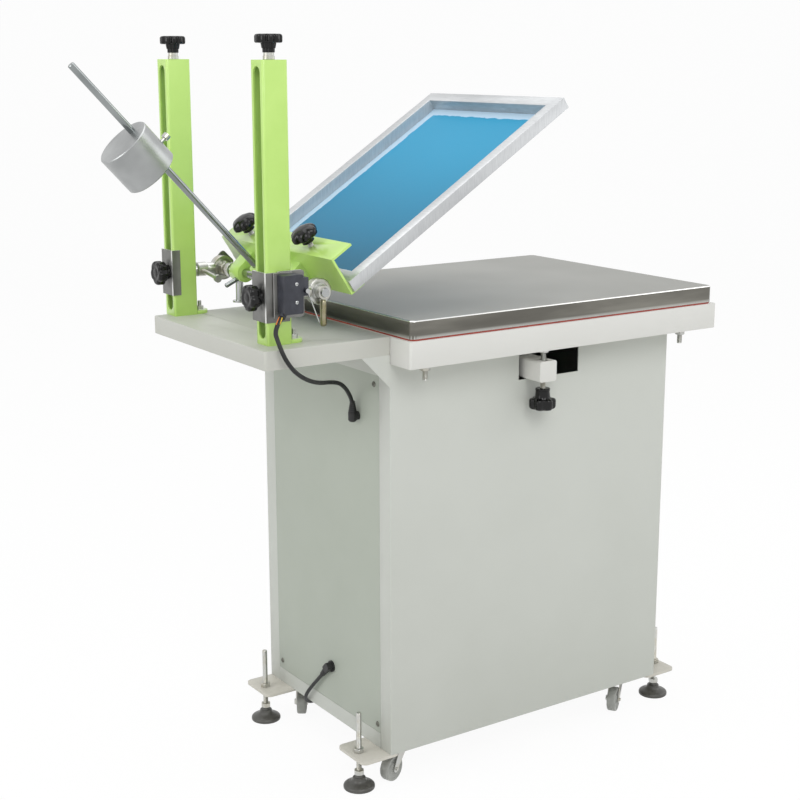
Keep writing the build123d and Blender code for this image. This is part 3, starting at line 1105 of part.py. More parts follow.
# mains cord: clipped up under the base pan, the spare length coiled on the floor
keep(None, "mains_cord", tube(CORD_ROUTE, CORD_R, "mains cord"))

with BuildPart() as mains_coil:
    with BuildSketch(Plane.XZ):
        with Locations((COIL_MID_R, COIL_H / 2)):
            RectangleRounded(COIL_W, COIL_H, 6)
    revolve(axis=Axis.Z)
keep(None, "mains_coil", mains_coil.part.moved(Location((COIL_X, COIL_Y, 0))))

# plug, lying where the coil's lowest turn runs off, with its tapered relief first
RELIEF_X, RELIEF_L, RELIEF_Z = COIL_X + 22.0, 21.0, 7.0
PLUG_Y, PLUG_L, PLUG_W, PLUG_H = COIL_Y - 49.2, 26.0, 36.0, 26.0
PIN_STEP, PLUG_PIN_R, PLUG_PIN_L = 19.0, 2.4, 19.0
with BuildPart() as mains_plug:
    with BuildSketch(Plane.YZ.offset(RELIEF_X)):
        with Locations((PLUG_Y, RELIEF_Z)):
            RectangleRounded(12, 12, 4)
    with BuildSketch(Plane.YZ.offset(RELIEF_X + RELIEF_L)):
        with Locations((PLUG_Y, PLUG_H / 2)):
            RectangleRounded(24, 18, 5)
    loft()
    with BuildSketch(Plane.YZ.offset(RELIEF_X + RELIEF_L)):
        with Locations((PLUG_Y, PLUG_H / 2)):
            RectangleRounded(PLUG_W, PLUG_H, 6)
    extrude(amount=PLUG_L)
    with BuildSketch(Plane.YZ.offset(RELIEF_X + RELIEF_L + PLUG_L)):
        with Locations((PLUG_Y - PIN_STEP / 2, PLUG_H / 2), (PLUG_Y + PIN_STEP / 2, PLUG_H / 2)):
            Circle(PLUG_PIN_R)
    extrude(amount=PLUG_PIN_L)
keep(mains_plug, "mains_plug")

# ---------------------------------------------------------------- vacuum blower
BLOWER_X, BLOWER_Y, BLOWER_Z = 250.0, CAB_Y1 - 135.0, CAB_Z0 + SHEET
HOUSING_R, HOUSING_H, MOTOR_R, MOTOR_H, BEVEL = 110.0, 68.0, 66.0, 66.0, 6.0
PORT_OFF, PORT_R, PORT_H, HOSE_WALL = 88.0, 16.0, 30.0, 4.0
MOTOR_TOP = HOUSING_H + MOTOR_H
with BuildPart() as blower:
    with BuildSketch(Plane.XZ):
        with BuildLine():
            Polyline(
                (0, 0), (HOUSING_R - BEVEL, 0), (HOUSING_R, BEVEL), (HOUSING_R, HOUSING_H - BEVEL),
                (HOUSING_R - BEVEL, HOUSING_H), (MOTOR_R, HOUSING_H), (MOTOR_R, MOTOR_TOP - BEVEL),
                (MOTOR_R - BEVEL, MOTOR_TOP), (0, MOTOR_TOP), close=True,
            )
        make_face()
    revolve(axis=Axis.Z)
    with BuildSketch(Plane.XY.offset(HOUSING_H)):
        with Locations((PORT_OFF, 0)):
            Circle(PORT_R)
    extrude(amount=PORT_H)
keep(None, "vacuum_blower", blower.part.moved(Location((BLOWER_X, BLOWER_Y, BLOWER_Z))))

with BuildPart() as vacuum_hose:
    with BuildSketch(Plane.XY.offset(BLOWER_Z + HOUSING_H)):
        with Locations((BLOWER_X + PORT_OFF, BLOWER_Y)):
            Circle(PORT_R + HOSE_WALL)
            Circle(PORT_R, mode=Mode.SUBTRACT)
    extrude(amount=CAB_Z1 - BLOWER_Z - HOUSING_H)
keep(vacuum_hose, "vacuum_hose")
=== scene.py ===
"""Dresses the vacuum screen printing table: a finish for each of its sheets, castings,
screws and knobs, its two cords, and the threads and small fasteners on its studs.

Everything is in metres in the machine's own frame. A name that ends in _MM is a size in
millimetres as a drawing would give it."""

import bmesh
import bpy
import numpy as np
from mathutils import Matrix, Vector


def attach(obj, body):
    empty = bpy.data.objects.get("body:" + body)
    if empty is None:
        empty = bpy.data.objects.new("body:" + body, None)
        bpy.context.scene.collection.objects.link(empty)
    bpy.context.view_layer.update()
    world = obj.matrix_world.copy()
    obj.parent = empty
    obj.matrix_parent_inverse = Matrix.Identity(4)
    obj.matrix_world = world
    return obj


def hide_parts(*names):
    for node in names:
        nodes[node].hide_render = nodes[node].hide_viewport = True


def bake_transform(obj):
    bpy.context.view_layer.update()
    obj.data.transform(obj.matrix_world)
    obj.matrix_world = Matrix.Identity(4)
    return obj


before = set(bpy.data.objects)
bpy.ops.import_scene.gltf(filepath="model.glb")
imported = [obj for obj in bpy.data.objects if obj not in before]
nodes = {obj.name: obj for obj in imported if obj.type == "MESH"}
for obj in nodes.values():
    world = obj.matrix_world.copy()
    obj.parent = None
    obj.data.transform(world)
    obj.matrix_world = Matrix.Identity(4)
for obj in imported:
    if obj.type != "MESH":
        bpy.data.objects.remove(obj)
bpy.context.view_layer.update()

MM = 0.001
TAU = 2 * np.pi


# ---------------------------------------------------------------- colours and nodes
def linear(hex_code):
    """The sRGB hex colour as linear red, green, blue and alpha."""
    parts = np.array([int(hex_code[i : i + 2], 16) for i in (1, 3, 5)]) / 255
    low, high = parts / 12.92, ((parts + 0.055) / 1.055) ** 2.4
    return (*np.where(parts <= 0.04045, low, high), 1.0)


def add(tree, kind, inputs=(), out=0, stops=(), **settings):
    """Adds a node and gives back one of its outputs. Inputs fill its sockets, by name or in
    order, with another node's output, a hex colour or a plain value. Settings are its own
    options, and stops are the places and colours of its ramp."""
    made = tree.nodes.new("ShaderNode" + kind)
    for name, value in settings.items():
        setattr(made, name, value)
    filled = inputs if isinstance(inputs, dict) else dict(enumerate(inputs))
    for socket, value in filled.items():
        if isinstance(value, bpy.types.NodeSocket):
            tree.links.new(value, made.inputs[socket])
        else:
            made.inputs[socket].default_value = linear(value) if isinstance(value, str) else value
    if stops:
        made.color_ramp.interpolation = "EASE"
        for stop, (at, colour) in zip(made.color_ramp.elements, stops):
            stop.position = at
            stop.color = linear(colour)
    return made.outputs[out]


def base(name, hex_code, roughness, metallic=0.0, **sockets):
    """A material with one shader, and the Object coordinates that its patterns read."""
    material = bpy.data.materials.new(name)
    material.use_nodes = True
    tree = material.node_tree
    shader = tree.nodes["Principled BSDF"]
    shader.inputs["Base Color"].default_value = linear(hex_code)
    shader.inputs["Roughness"].default_value = roughness
    shader.inputs["Metallic"].default_value = metallic
    for socket, value in sockets.items():
        shader.inputs[socket.replace("_", " ")].default_value = value
    return material, tree, shader, add(tree, "TexCoord", out="Object")


def feed(tree, shader, **sources):
    """Leads each source into the shader's socket of that name."""
    for socket, source in sources.items():
        tree.links.new(source, shader.inputs[socket.replace("_", " ")])


def patches(tree, place, size_mm, detail, low, high, at=(0.3, 0.7), stretch=(1, 1, 1)):
    """Drifts from low to high, two colours or two numbers, over patches about size_mm
    across that stretch draws out. At gives the pattern's greys where low ends and high
    begins."""
    scale = [1 / (size_mm * MM) / s for s in stretch]
    mapped = add(tree, "Mapping", {"Vector": place, "Scale": scale})
    grey = add(tree, "TexNoise", {"Vector": mapped, "Scale": 1.0, "Detail": detail, "Roughness": 0.55})
    if isinstance(low, str):
        return add(tree, "ValToRGB", [grey], stops=((at[0], low), (at[1], high)))
    return add(tree, "MapRange", (grey, *at, low, high))


def relief(tree, shader, place, size_mm, detail, depth_mm, stretch=(1, 1, 1), under=None):
    """Raises the skin by up to depth_mm in a grain about size_mm across, over the relief
    that lies under it, if any."""
    height = patches(tree, place, size_mm, detail, 0.0, 1.0, (0.0, 1.0), stretch)
    inputs = {"Height": height, "Strength": 1.0, "Distance": depth_mm * MM}
    if under is not None:
        inputs["Normal"] = under
    normal = add(tree, "Bump", inputs)
    feed(tree, shader, Normal=normal)
    return normal


def facing(tree, axis, least=0.8):
    """1 on faces that look either way along one of the object's own axes, X, Y or Z."""
    part = add(tree, "SeparateXYZ", [add(tree, "TexCoord", out="Normal")], axis)
    part = add(tree, "Math", [part], operation="ABSOLUTE")
    return add(tree, "MapRange", (part, least - 0.05, least + 0.05, 0.0, 1.0))


def between(tree, value, low, high, soft=0.0002):
    """1 where the value lies from low to high, both in metres."""
    rise = add(tree, "MapRange", (value, low - soft, low + soft, 0.0, 1.0))
    fall = add(tree, "MapRange", (value, high - soft, high + soft, 1.0, 0.0))
    return add(tree, "Math", (rise, fall), operation="MULTIPLY")


# ---------------------------------------------------------------- finishes
def powder_coat(name, hex_code, shaded_code):
    """Baked polyester powder on folded sheet: a satin skin with a fine orange peel, a
    trace of uneven film, and painted shade in soft patches low on the sheets, towards the floor."""
    material, tree, shader, place = base(name, hex_code, 0.42, Specular_IOR_Level=0.45)
    film = patches(tree, place, 220, 4, "#000000", "#ffffff", (0.3, 0.75))
    height = add(tree, "SeparateXYZ", [place], "Z")
    # painted shade: the coat turns darker below 0.6 m towards the floor, in soft patches
    low_down = add(tree, "MapRange", (height, 0.05, 0.6, 0.3, 0.0))
    shade_patches = patches(tree, place, 300, 2, 0.4, 1.0)
    low_shade = add(tree, "Math", (low_down, shade_patches), operation="MULTIPLY")
    film_share = add(tree, "MapRange", (film, 0.0, 1.0, 0.0, 0.1))
    both = add(tree, "Math", (low_shade, film_share), operation="ADD")
    tone = add(tree, "Mix", {"Factor": both, 6: hex_code, 7: shaded_code}, 2, data_type="RGBA")
    feed(tree, shader, Base_Color=tone, Roughness=patches(tree, place, 60, 3, 0.36, 0.5))
    # the peel's real 0.8 mm cells are drawn 1.6 mm wide so that they show
    relief(tree, shader, place, 1.6, 2, 0.035)
    return material


def gloss_enamel(name, hex_code, deep_code):
    """Sprayed apple-green enamel on welded tube: glossy, with soft sags in the film."""
    material, tree, shader, place = base(name, hex_code, 0.3, Coat_Weight=0.35, Coat_Roughness=0.12)
    depth = patches(tree, place, 90, 4, 0.0, 0.35, (0.35, 0.75))
    tone = add(tree, "Mix", {"Factor": depth, 6: hex_code, 7: deep_code}, 2, data_type="RGBA")
    feed(tree, shader, Base_Color=tone)
    sag = relief(tree, shader, place, 14, 2, 0.06, (1, 1, 3))
    relief(tree, shader, place, 1.8, 2, 0.02, under=sag)
    return material


def extruded_rail(name, hex_code, dark_code):
    """Extruded aluminium with its mill finish: pale, with fine die streaks and a slow
    change of tone along the rails."""
    material, tree, shader, place = base(name, hex_code, 0.38, 1.0)
    # die lines are 0.1 mm wide in life and drawn 0.7 mm so that they show
    streak = (2, 30, 30)
    fine = patches(tree, place, 0.7, 2, 0.0, 0.3, (0.0, 1.0), streak)
    slow = patches(tree, place, 260, 2, 0.0, 0.7, (0.0, 1.0))
    share = add(tree, "Math", (fine, slow), operation="ADD")
    tone = add(tree, "ValToRGB", [share], stops=((0.2, dark_code), (0.8, hex_code)))
    feed(tree, shader, Base_Color=tone, Roughness=add(tree, "MapRange", (share, 0.3, 0.7, 0.52, 0.4)))
    relief(tree, shader, place, 0.7, 2, 0.006, streak)
    return material


def turned_steel(name, hex_code, dark_code, rough, depth_mm=0.004):
    """Lathe-turned free-cutting steel: bright, with the fine grain that the tool leaves."""
    material, tree, shader, place = base(name, hex_code, rough, 1.0)
    tone = patches(tree, place, 60, 2, dark_code, hex_code, (0.2, 0.8))
    gloss = patches(tree, place, 0.9, 2, rough + 0.05, rough - 0.03)
    feed(tree, shader, Base_Color=tone, Roughness=gloss)
    relief(tree, shader, place, 0.9, 2, depth_mm)
    return material


def zinc_plate(name, hex_code, warm_code, rough=0.33):
    """Clear-passivated zinc on screws and pressings: cool grey with a faint yellow cast
    that wanders over each piece."""
    material, tree, shader, place = base(name, hex_code, rough, 1.0)
    cast = patches(tree, place, 22, 3, hex_code, warm_code, (0.35, 0.8))
    gloss = patches(tree, place, 5, 3, rough - 0.04, rough + 0.07)
    feed(tree, shader, Base_Color=cast, Roughness=gloss)
    relief(tree, shader, place, 0.9, 2, 0.006)
    return material


def pressed_top(name, top_code, shaded_side_code):
    """The platen's folded steel sheet: its top ground evenly pale, its turned-down edges
    painted darker as shade with slow streaks of painted reflection along them, and the bend
    between them a painted bright highlight."""
    material, tree, shader, place = base(name, top_code, 0.5, 0.85)
    top = facing(tree, "Z", 0.94)
    # painted highlight: the bevel between the top and the sides is painted near white
    highlight_band = facing(tree, "Z", 0.25)
    # painted shade: the sides are painted darker than the top, with painted reflection streaks along them
    shaded_sides = patches(tree, place, 240, 3, shaded_side_code, "#8a8880", (0.3, 0.8), (1, 1, 0.15))
    cloud = patches(tree, place, 300, 2, "#9e9e99", top_code)
    # rubbed is the sides' painted shade with the bend's painted highlight over it
    rubbed = add(tree, "Mix", {"Factor": highlight_band, 6: shaded_sides, 7: "#f2f2ef"}, 2, data_type="RGBA")
    tone = add(tree, "Mix", {"Factor": top, 6: rubbed, 7: cloud}, 2, data_type="RGBA")
    rough = add(tree, "MapRange", (top, 0.0, 1.0, 0.3, 0.5))
    metal = add(tree, "MapRange", (top, 0.0, 1.0, 1.0, 0.72))
    feed(tree, shader, Base_Color=tone, Roughness=rough, Metallic=metal)
    relief(tree, shader, place, 0.8, 2, 0.0015, (30, 1, 1))
    return material


def sheared_plate(name, hex_code, edge_highlight_code):
    """Blued steel plate, dull grey on its faces and bright where the shear cut it, that
    brightness partly bare steel and partly painted highlight: on its upward and downward
    faces, and on the ends of each cheek, carrier and spacer, which lie as strips side by side."""
    material, tree, shader, place = base(name, hex_code, 0.42, 0.75)
    apart = add(tree, "SeparateXYZ", [place], "Y")
    # painted highlight, partly bare sheared steel: the upward and downward faces and the plate ends in
    # these strips take the bright edge colour
    cut = facing(tree, "Z")
    for low, high in ((-0.1900, -0.1855), (-0.1850, -0.1826), (-0.1819, -0.1776), (0.1640, 0.1690)):
        highlight_strip = between(tree, apart, low, high)
        end = add(tree, "Math", (highlight_strip, facing(tree, "X")), operation="MULTIPLY")
        cut = add(tree, "Math", (cut, end), operation="MAXIMUM")
    face = patches(tree, place, 40, 2, hex_code, "#868683", (0.3, 0.75))
    tone = add(tree, "Mix", {"Factor": cut, 6: face, 7: edge_highlight_code}, 2, data_type="RGBA")
    feed(tree, shader, Base_Color=tone)
    relief(tree, shader, place, 1.0, 2, 0.004)
    return material


def cast_metal(name, hex_code, dark_code):
    """Sand-cast aluminium, left as it came from the mould: dull with a coarse grain."""
    material, tree, shader, place = base(name, hex_code, 0.55, 0.9)
    feed(tree, shader, Base_Color=patches(tree, place, 14, 5, dark_code, hex_code, (0.35, 0.65)))
    relief(tree, shader, place, 1.4, 4, 0.12)
    return material


def moulded(name, hex_code, lit_code, rough, grain_mm=0.9, depth_mm=0.02, **sockets):
    """Moulded phenolic, ABS or nylon: an even colour with a fine spark-eroded grain."""
    material, tree, shader, place = base(name, hex_code, rough, **sockets)
    tone = patches(tree, place, 18, 4, hex_code, lit_code, (0.35, 0.8))
    gloss = patches(tree, place, 6, 4, rough - 0.08, rough + 0.1)
    feed(tree, shader, Base_Color=tone, Roughness=gloss)
    relief(tree, shader, place, grain_mm, 2, depth_mm)
    return material


def jacket(name, hex_code, lit_code):
    """Extruded PVC cable jacket: matt black with a faint grain and a rubbed sheen."""
    return moulded(name, hex_code, lit_code, 0.5, 1.1, 0.015)


def emulsion_cloth(name, origin, along, half_y, length):
    """Polyester screen cloth coated with blue stencil emulsion, with a bare pale border
    along the rails: a fine weave, glossier and deeper where it is coated, and painted shade
    that darkens the blue towards the hinge."""
    material, tree, shader, place = base(name, "#2088b0", 0.45, Specular_IOR_Level=0.18)
    start = add(tree, "VectorMath", (place, origin), operation="SUBTRACT")
    s = add(tree, "VectorMath", (start, along), "Value", operation="DOT_PRODUCT")
    y = add(tree, "SeparateXYZ", [place], "Y")
    border = 44 * MM
    # how far a point lies inside the border, across the cloth and along it
    off_y = add(tree, "Math", [y], operation="ABSOLUTE")
    in_y = add(tree, "Math", (half_y - border, off_y), operation="SUBTRACT")
    mid_s = add(tree, "Math", (s, length / 2), operation="SUBTRACT")
    off_s = add(tree, "Math", [mid_s], operation="ABSOLUTE")
    in_s = add(tree, "Math", (length / 2 - border, off_s), operation="SUBTRACT")
    inner = add(tree, "Math", (in_y, in_s), operation="MINIMUM")
    ragged = patches(tree, place, 22, 3, -2.0 * MM, 2.0 * MM)
    edge = add(tree, "Math", (inner, ragged), operation="ADD")
    coated = add(tree, "MapRange", (edge, -1.2 * MM, 1.2 * MM, 0.0, 1.0))
    # painted shade: the blue is darker near the hinge and lighter towards the free end
    shade = add(tree, "Math", (s, 1 / length), operation="MULTIPLY")
    blue = add(tree, "ValToRGB", [shade], stops=((0.05, "#156f93"), (0.8, "#2196bf")))
    tone = add(tree, "Mix", {"Factor": coated, 6: "#b9d3e6", 7: blue}, 2, data_type="RGBA")
    rough = add(tree, "MapRange", (coated, 0.0, 1.0, 0.6, 0.34))
    # the real cloth has 0.13 mm threads; they are drawn 1.2 mm apart so that they show
    threads = {"Vector": place, "Scale": 1 / (1.2 * MM) / TAU, "Distortion": 0.2}
    weave = add(tree, "TexWave", threads, "Fac", bands_direction="Y")
    normal = add(tree, "Bump", {"Height": weave, "Strength": 1.0, "Distance": 0.015 * MM})
    feed(tree, shader, Base_Color=tone, Roughness=rough, Normal=normal)
    return material


# each coat's second colour is its painted shade low on the sheets
cabinet_coat = powder_coat("powder_coat_light_grey", "#c9cbc4", "#a9aca2")
end_coat = powder_coat("powder_coat_panel_grey", "#afb5a9", "#949a8d")
tray_coat = powder_coat("powder_coat_white", "#d9d8d3", "#c0bfb6")
shelf_coat = powder_coat("powder_coat_shelf_grey", "#c4c4bc", "#a3a299")
cream_coat = powder_coat("powder_coat_cream", "#d4d1c8", "#b0aa98")
green_enamel = gloss_enamel("enamel_apple_green", "#bfe27a", "#a0cd55")
# its second colour is the painted shade of the platen's sides
platen_steel = pressed_top("steel_pressed_top", "#a8a8a3", "#686660")
zinc = zinc_plate("zinc_clear", "#c4c5c2", "#b7b2a2")
bright_steel = turned_steel("steel_bright_drawn", "#c6c8c7", "#a9abab", 0.16)
rod_steel = turned_steel("steel_ground_rod", "#9da1a1", "#7f8484", 0.14, 0.002)
weight_steel = turned_steel("steel_turned_weight", "#b4b6b6", "#9b9d9d", 0.36)
# its second colour is the cut edges' painted highlight, partly bare steel
grey_plate = sheared_plate("steel_blued_plate", "#737370", "#e4e4e1")
dull_steel = zinc_plate("steel_dull_zinc", "#7f8079", "#6b6a5e", 0.4)
brassy_steel = zinc_plate("steel_yellow_passivated", "#a5a08a", "#8c8560", 0.3)
frame_alloy = extruded_rail("aluminium_extruded_rail", "#dcdedf", "#aeb0b2")
knob_black = moulded(
    "phenolic_black", "#030303", "#080808", 0.16, depth_mm=0.004, Specular_IOR_Level=0.36,
)
switch_grey = moulded("zinc_diecast_painted_grey", "#2b2d35", "#383a43", 0.42)
abs_black = moulded("nylon_black", "#141414", "#202020", 0.45)
wheel_grey = moulded("nylon_wheel_grey", "#a5a6a1", "#8f908b", 0.42)
foot_grey = moulded("nylon_foot_grey", "#53524e", "#44433f", 0.36)
seal_red = moulded("silicone_red", "#a9473a", "#94392d", 0.55)
cord_black = jacket("pvc_jacket_black", "#090a0a", "#151616")
wire_orange = moulded("pvc_wire_orange", "#d9762a", "#c9641c", 0.45)
wire_yellow = moulded("pvc_wire_yellow", "#e8c43a", "#dcb42a", 0.45)
tie_grey = moulded("nylon_tie_grey", "#8b8c8c", "#9a9b9b", 0.4)
blower_cast = cast_metal("aluminium_sand_cast", "#a7a9aa", "#87898a")
hose_grey = moulded("pvc_hose_grey", "#8d8f90", "#7c7e7f", 0.5)


# ---------------------------------------------------------------- meshes
def solid(name, points, faces, material, smooth_deg=35):
    """A mesh from points and faces, its seams merged and its faces turned outwards."""
    mesh = bpy.data.meshes.new(name)
    mesh.from_pydata(np.asarray(points, float).reshape(-1, 3).tolist(), [], faces)
    work = bmesh.new()
    work.from_mesh(mesh)
    bmesh.ops.remove_doubles(work, verts=work.verts, dist=1e-6)
    bmesh.ops.recalc_face_normals(work, faces=work.faces)
    work.to_mesh(mesh)
    work.free()
    mesh.shade_smooth()
    mesh.set_sharp_from_angle(angle=np.radians(smooth_deg))
    made = bpy.data.objects.new(name, mesh)
    bpy.context.scene.collection.objects.link(made)
    mesh.materials.append(material)
    return made


def turn_angles(columns):
    """Equal steps of angle, once round."""
    return np.arange(columns) * TAU / columns


def about_axis(radius, height):
    """The point (radius cos a, radius sin a, height) for each row and each step round."""
    a = turn_angles(radius.shape[1])
    return np.stack([radius * np.cos(a), radius * np.sin(a), height + 0 * radius], -1)


def grid_faces(rows, columns, wrap=True, ring=False):
    """Quads between neighbouring rows and columns, closed round the columns if wrap, and
    from the last row back to the first if ring."""
    steps = np.arange(rows if ring else rows - 1), np.arange(columns if wrap else columns - 1)
    i, j = np.meshgrid(*steps, indexing="ij")
    low, high = i * columns, (i + 1) % rows * columns
    k = (j + 1) % columns
    return np.stack([low + j, low + k, high + k, high + j], -1).reshape(-1, 4).tolist()


def end_faces(rows, columns):
    """Triangles from a grid's first and last rows to the two middle points that follow it."""
    faces = []
    for centre, row in ((rows * columns, 0), (rows * columns + 1, rows - 1)):
        ring = row * columns + np.arange(columns)
        faces += np.stack([ring, np.roll(ring, -1), np.full(columns, centre)], -1).tolist()
    return faces


def seat(points, origin, z_axis, x_axis=None):
    """Moves drawing points, whose z runs along the piece's axis, to origin + x X + y Y + z Z."""
    z = np.array(Vector(z_axis).normalized())
    if x_axis is None:
        x_axis = (0, 1, 0) if abs(z[1]) < 0.9 else (1, 0, 0)
    x = np.array(x_axis, float)
    x = x - z * (x @ z)
    x /= np.linalg.norm(x)
    return np.array(origin) + points[..., :1] * x + points[..., 1:2] * np.cross(z, x) + points[..., 2:] * z


def shell(name, radius, height, material, origin, z_axis, x_axis=None, smooth_deg=35):
    """A closed skin round an axis, from radii and heights in rows and columns. Each end is
    closed on its middle."""
    ends = np.array([[0, 0, float(height[0].mean())], [0, 0, float(height[-1].mean())]])
    points = np.vstack([about_axis(radius, height).reshape(-1, 3), ends])
    faces = grid_faces(*radius.shape) + end_faces(*radius.shape)
    return solid(name, seat(points, origin, z_axis, x_axis), faces, material, smooth_deg)


def turned(name, profile_mm, material, origin, z_axis, x_axis=None, lobes=0, notch=0.0, columns=96,
           sharp=2.0):
    """A turned or moulded piece. Each row of the profile is height, radius and the share
    of the lobes: radius (1 - share notch ((1 + cos lobes a) / 2) ** sharp)."""
    rows = np.array([(*row, 0.0)[:3] for row in profile_mm], float)
    a = turn_angles(columns)
    wave = ((1 + np.cos(lobes * a)) / 2) ** sharp if lobes else 0 * a
    radius = rows[:, 1:2] * (1 - rows[:, 2:3] * notch * wave) * MM
    height = np.repeat(rows[:, :1], columns, 1) * MM
    return shell(name, radius, height, material, origin, z_axis, x_axis)


def threaded(name, r_mm, pitch_mm, length_mm, material, origin, z_axis, depth=0.6, columns=20):
    """A screw thread: radius r - depth pitch tri(z / pitch - a / turn), tri being 0 at the
    crest and 1 at the root, and faded out at both ends."""
    per_turn = 6
    rows = max(4, int(length_mm / pitch_mm * per_turn)) + 1
    z = np.linspace(0, length_mm, rows)[:, None]
    phase = (z / pitch_mm - turn_angles(columns)[None, :] / TAU) % 1.0
    tri = 1 - np.abs(2 * phase - 1)
    fade = np.clip(np.minimum(z, length_mm - z) / pitch_mm, 0, 1)
    end_cut = 0.8 * depth * pitch_mm * (1 - fade)
    radius = (r_mm - depth * pitch_mm * tri * fade - end_cut) * MM
    return shell(name, radius, (z + 0 * radius) * MM, material, origin, z_axis, smooth_deg=50)


def bored(name, radius_mm, z_mm, bore_mm, material, origin, z_axis, x_axis):
    """A skin whose rows of radii run up its outside, from and to a round bore, and whose
    last row joins the first down that bore."""
    bore = np.full((1, radius_mm.shape[1]), bore_mm)
    radius = np.vstack([bore, radius_mm, bore])
    z = np.concatenate([z_mm[:1], z_mm, z_mm[-1:]])[:, None]
    placed = seat(about_axis(radius, z) * MM, origin, z_axis, x_axis)
    return solid(name, placed, grid_faces(*radius.shape, ring=True), material)


def hex_nut(name, across_mm, thick_mm, bore_mm, material, origin, z_axis, x_axis=None, flange_mm=0.0):
    """A hexagon nut: radius is the hexagon's apothem / cos(a to the flat's middle), cut by a
    30 degree chamfer cone at both ends; a flange, if any, spreads at its foot."""
    sixth = np.pi / 3
    flat = (turn_angles(72) + sixth / 2) % sixth - sixth / 2
    hexagon = across_mm / 2 / np.cos(flat)
    corner = across_mm / 2 / np.cos(sixth / 2)
    foot = np.array([0, 0.25, 0.6, 1.1, 1.7])
    z = np.concatenate([foot, thick_mm - foot[::-1]])
    room = np.minimum(z, thick_mm - z)[:, None]
    cone = across_mm / 2 * 0.96 + room * 1.75
    radius = np.minimum(hexagon[None, :], np.minimum(cone, corner))
    if flange_mm:
        spread = flange_mm * np.clip(1 - z / 1.6, 0, 1)[:, None] ** 0.5
        radius = np.maximum(radius, spread)
    return bored(name, radius, z, bore_mm, material, origin, z_axis, x_axis)


def flat_ring(name, outline_mm, thick_mm, bore_mm, material, origin, z_axis, x_axis):
    """A flat plate round a bore: its outline is a radius for each angle about the bore, and
    its edges are broken by 0.4 mm."""
    z = np.array([0, 0.4, thick_mm - 0.4, thick_mm])
    radius = outline_mm[None, :] - np.array([0.4, 0, 0, 0.4])[:, None]
    return bored(name, radius, z, bore_mm, material, origin, z_axis, x_axis)


def tube(name, line, r_m, material, columns=14):
    """A round tube of radius r carried along a line of points: at each point the section is
    r (cos a U + sin a V), with U and V square to the line and passed on without twist."""
    line = np.asarray(line, float)
    along = np.gradient(line, axis=0)
    along /= np.linalg.norm(along, axis=1)[:, None]
    u = np.cross(along[0], (0.3, 0.5, 0.81))
    frames = []
    for t in along:
        u = u - t * (u @ t)
        u = u / np.linalg.norm(u)
        frames.append(u)
    u = np.array(frames)[:, None, :]
    v = np.cross(along, u[:, 0])[:, None, :]
    a = turn_angles(columns)[None, :, None]
    points = line[:, None, :] + r_m * (np.cos(a) * u + np.sin(a) * v)
    count = len(line)
    ends = [list(range(columns)), [(count - 1) * columns + k for k in range(columns)]]
    return solid(name, points, grid_faces(count, columns) + ends, material, 60)


def route_curve(name, route_mm):
    """The smooth line of a cord: a NURBS spline of order 3 whose control points are its route."""
    curve = bpy.data.curves.new(name, "CURVE")
    curve.dimensions = "3D"
    spline = curve.splines.new("NURBS")
    spline.points.add(len(route_mm) - 1)
    spline.points.foreach_set("co", np.c_[np.array(route_mm) * MM, np.ones(len(route_mm))].ravel())
    spline.order_u = 3
    spline.use_endpoint_u = True
    curve.resolution_u = 8
    made = bpy.data.objects.new(name, curve)
    bpy.context.scene.collection.objects.link(made)
    return made


def line_of(curve_object):
    """The points of a curve's own line, in order."""
    mesh = bpy.data.meshes.new_from_object(curve_object)
    points = np.array([v.co for v in mesh.vertices], float)
    bpy.data.meshes.remove(mesh)
    return points


def length_of(line):
    """The sum of the steps between a line's points."""
    return float(np.linalg.norm(np.diff(line, axis=0), axis=1).sum())


# ---------------------------------------------------------------- where things are
# The machine's main places, as its drawing gives them
SHELF_TOP_MM, SHELF_UNDER_MM, COLUMN_TOP_MM = 842.0, 839.5, 1300.0
COLUMN_X0_MM, COLUMN_L_MM = -345.0, 46.0
COLUMN_Y_MM = {"near": -159.0, "far": 188.0}
HINGE_MM = np.array([-237.0, 0.0, 922.0])
TILT = np.radians(32.7)
SCREEN_ALONG = np.array([np.cos(TILT), 0, np.sin(TILT)])
SCREEN_UP = np.array([-np.sin(TILT), 0, np.cos(TILT)])
SCREEN_FROM_MM, SCREEN_LONG_MM, SCREEN_HALF_MM, SCREEN_TOP_MM = 37.0, 541.0, 205.5, -2.1
CLAMP_TOP_MM, KNOB_AT_MM = 46.0, 55.0
KNOB_Y_MM = {"near": -102.0, "far": 109.0}
# the cabinet's hinge end, the corner plates' upper faces and the tray's underside
CABINET_X0_MM, PLATE_TOP_MM, TRAY_UNDER_MM = -131.0, 70.0, 794.0
JACKS_MM = [(x, y) for x in (-86.0, 509.0) for y in (-257.0, 257.0)]
LOCK_MM = np.array([181.0, -247.0, 719.0])
FEET_MM = {
    "foot_1": (-171.0, 179.0), "foot_2": (-171.0, -171.0),
    "foot_3": (559.5, -171.0), "foot_4": (559.5, 179.0),
}
CASTERS_MM = {
    "1": (-84.0, 180.0, 235.0), "2": (-84.0, -172.0, 200.0),
    "3": (455.0, -172.0, 215.0), "4": (455.0, 180.0, 20.0),
}
CASTER_TRAIL_MM, CASTER_AXLE_MM = 24.0, 25.0
# half the width of a rod end's ball, against which the shaft's nuts are tightened
BALL_HALF_MM = 9.5
# threads as radius and pitch, nuts as width across flats, thickness and bore's radius
M10_MM, M10_NUT_MM = (5.0, 1.5), (17.0, 9.0, 5.0)
M8_MM, M8_NUT_MM = (4.0, 1.25), (13.0, 6.5, 4.0)
HINGE_NUT_MM = (24.0, 12.5, 8.06)
CAMERA_HEADING = np.radians(34.066)


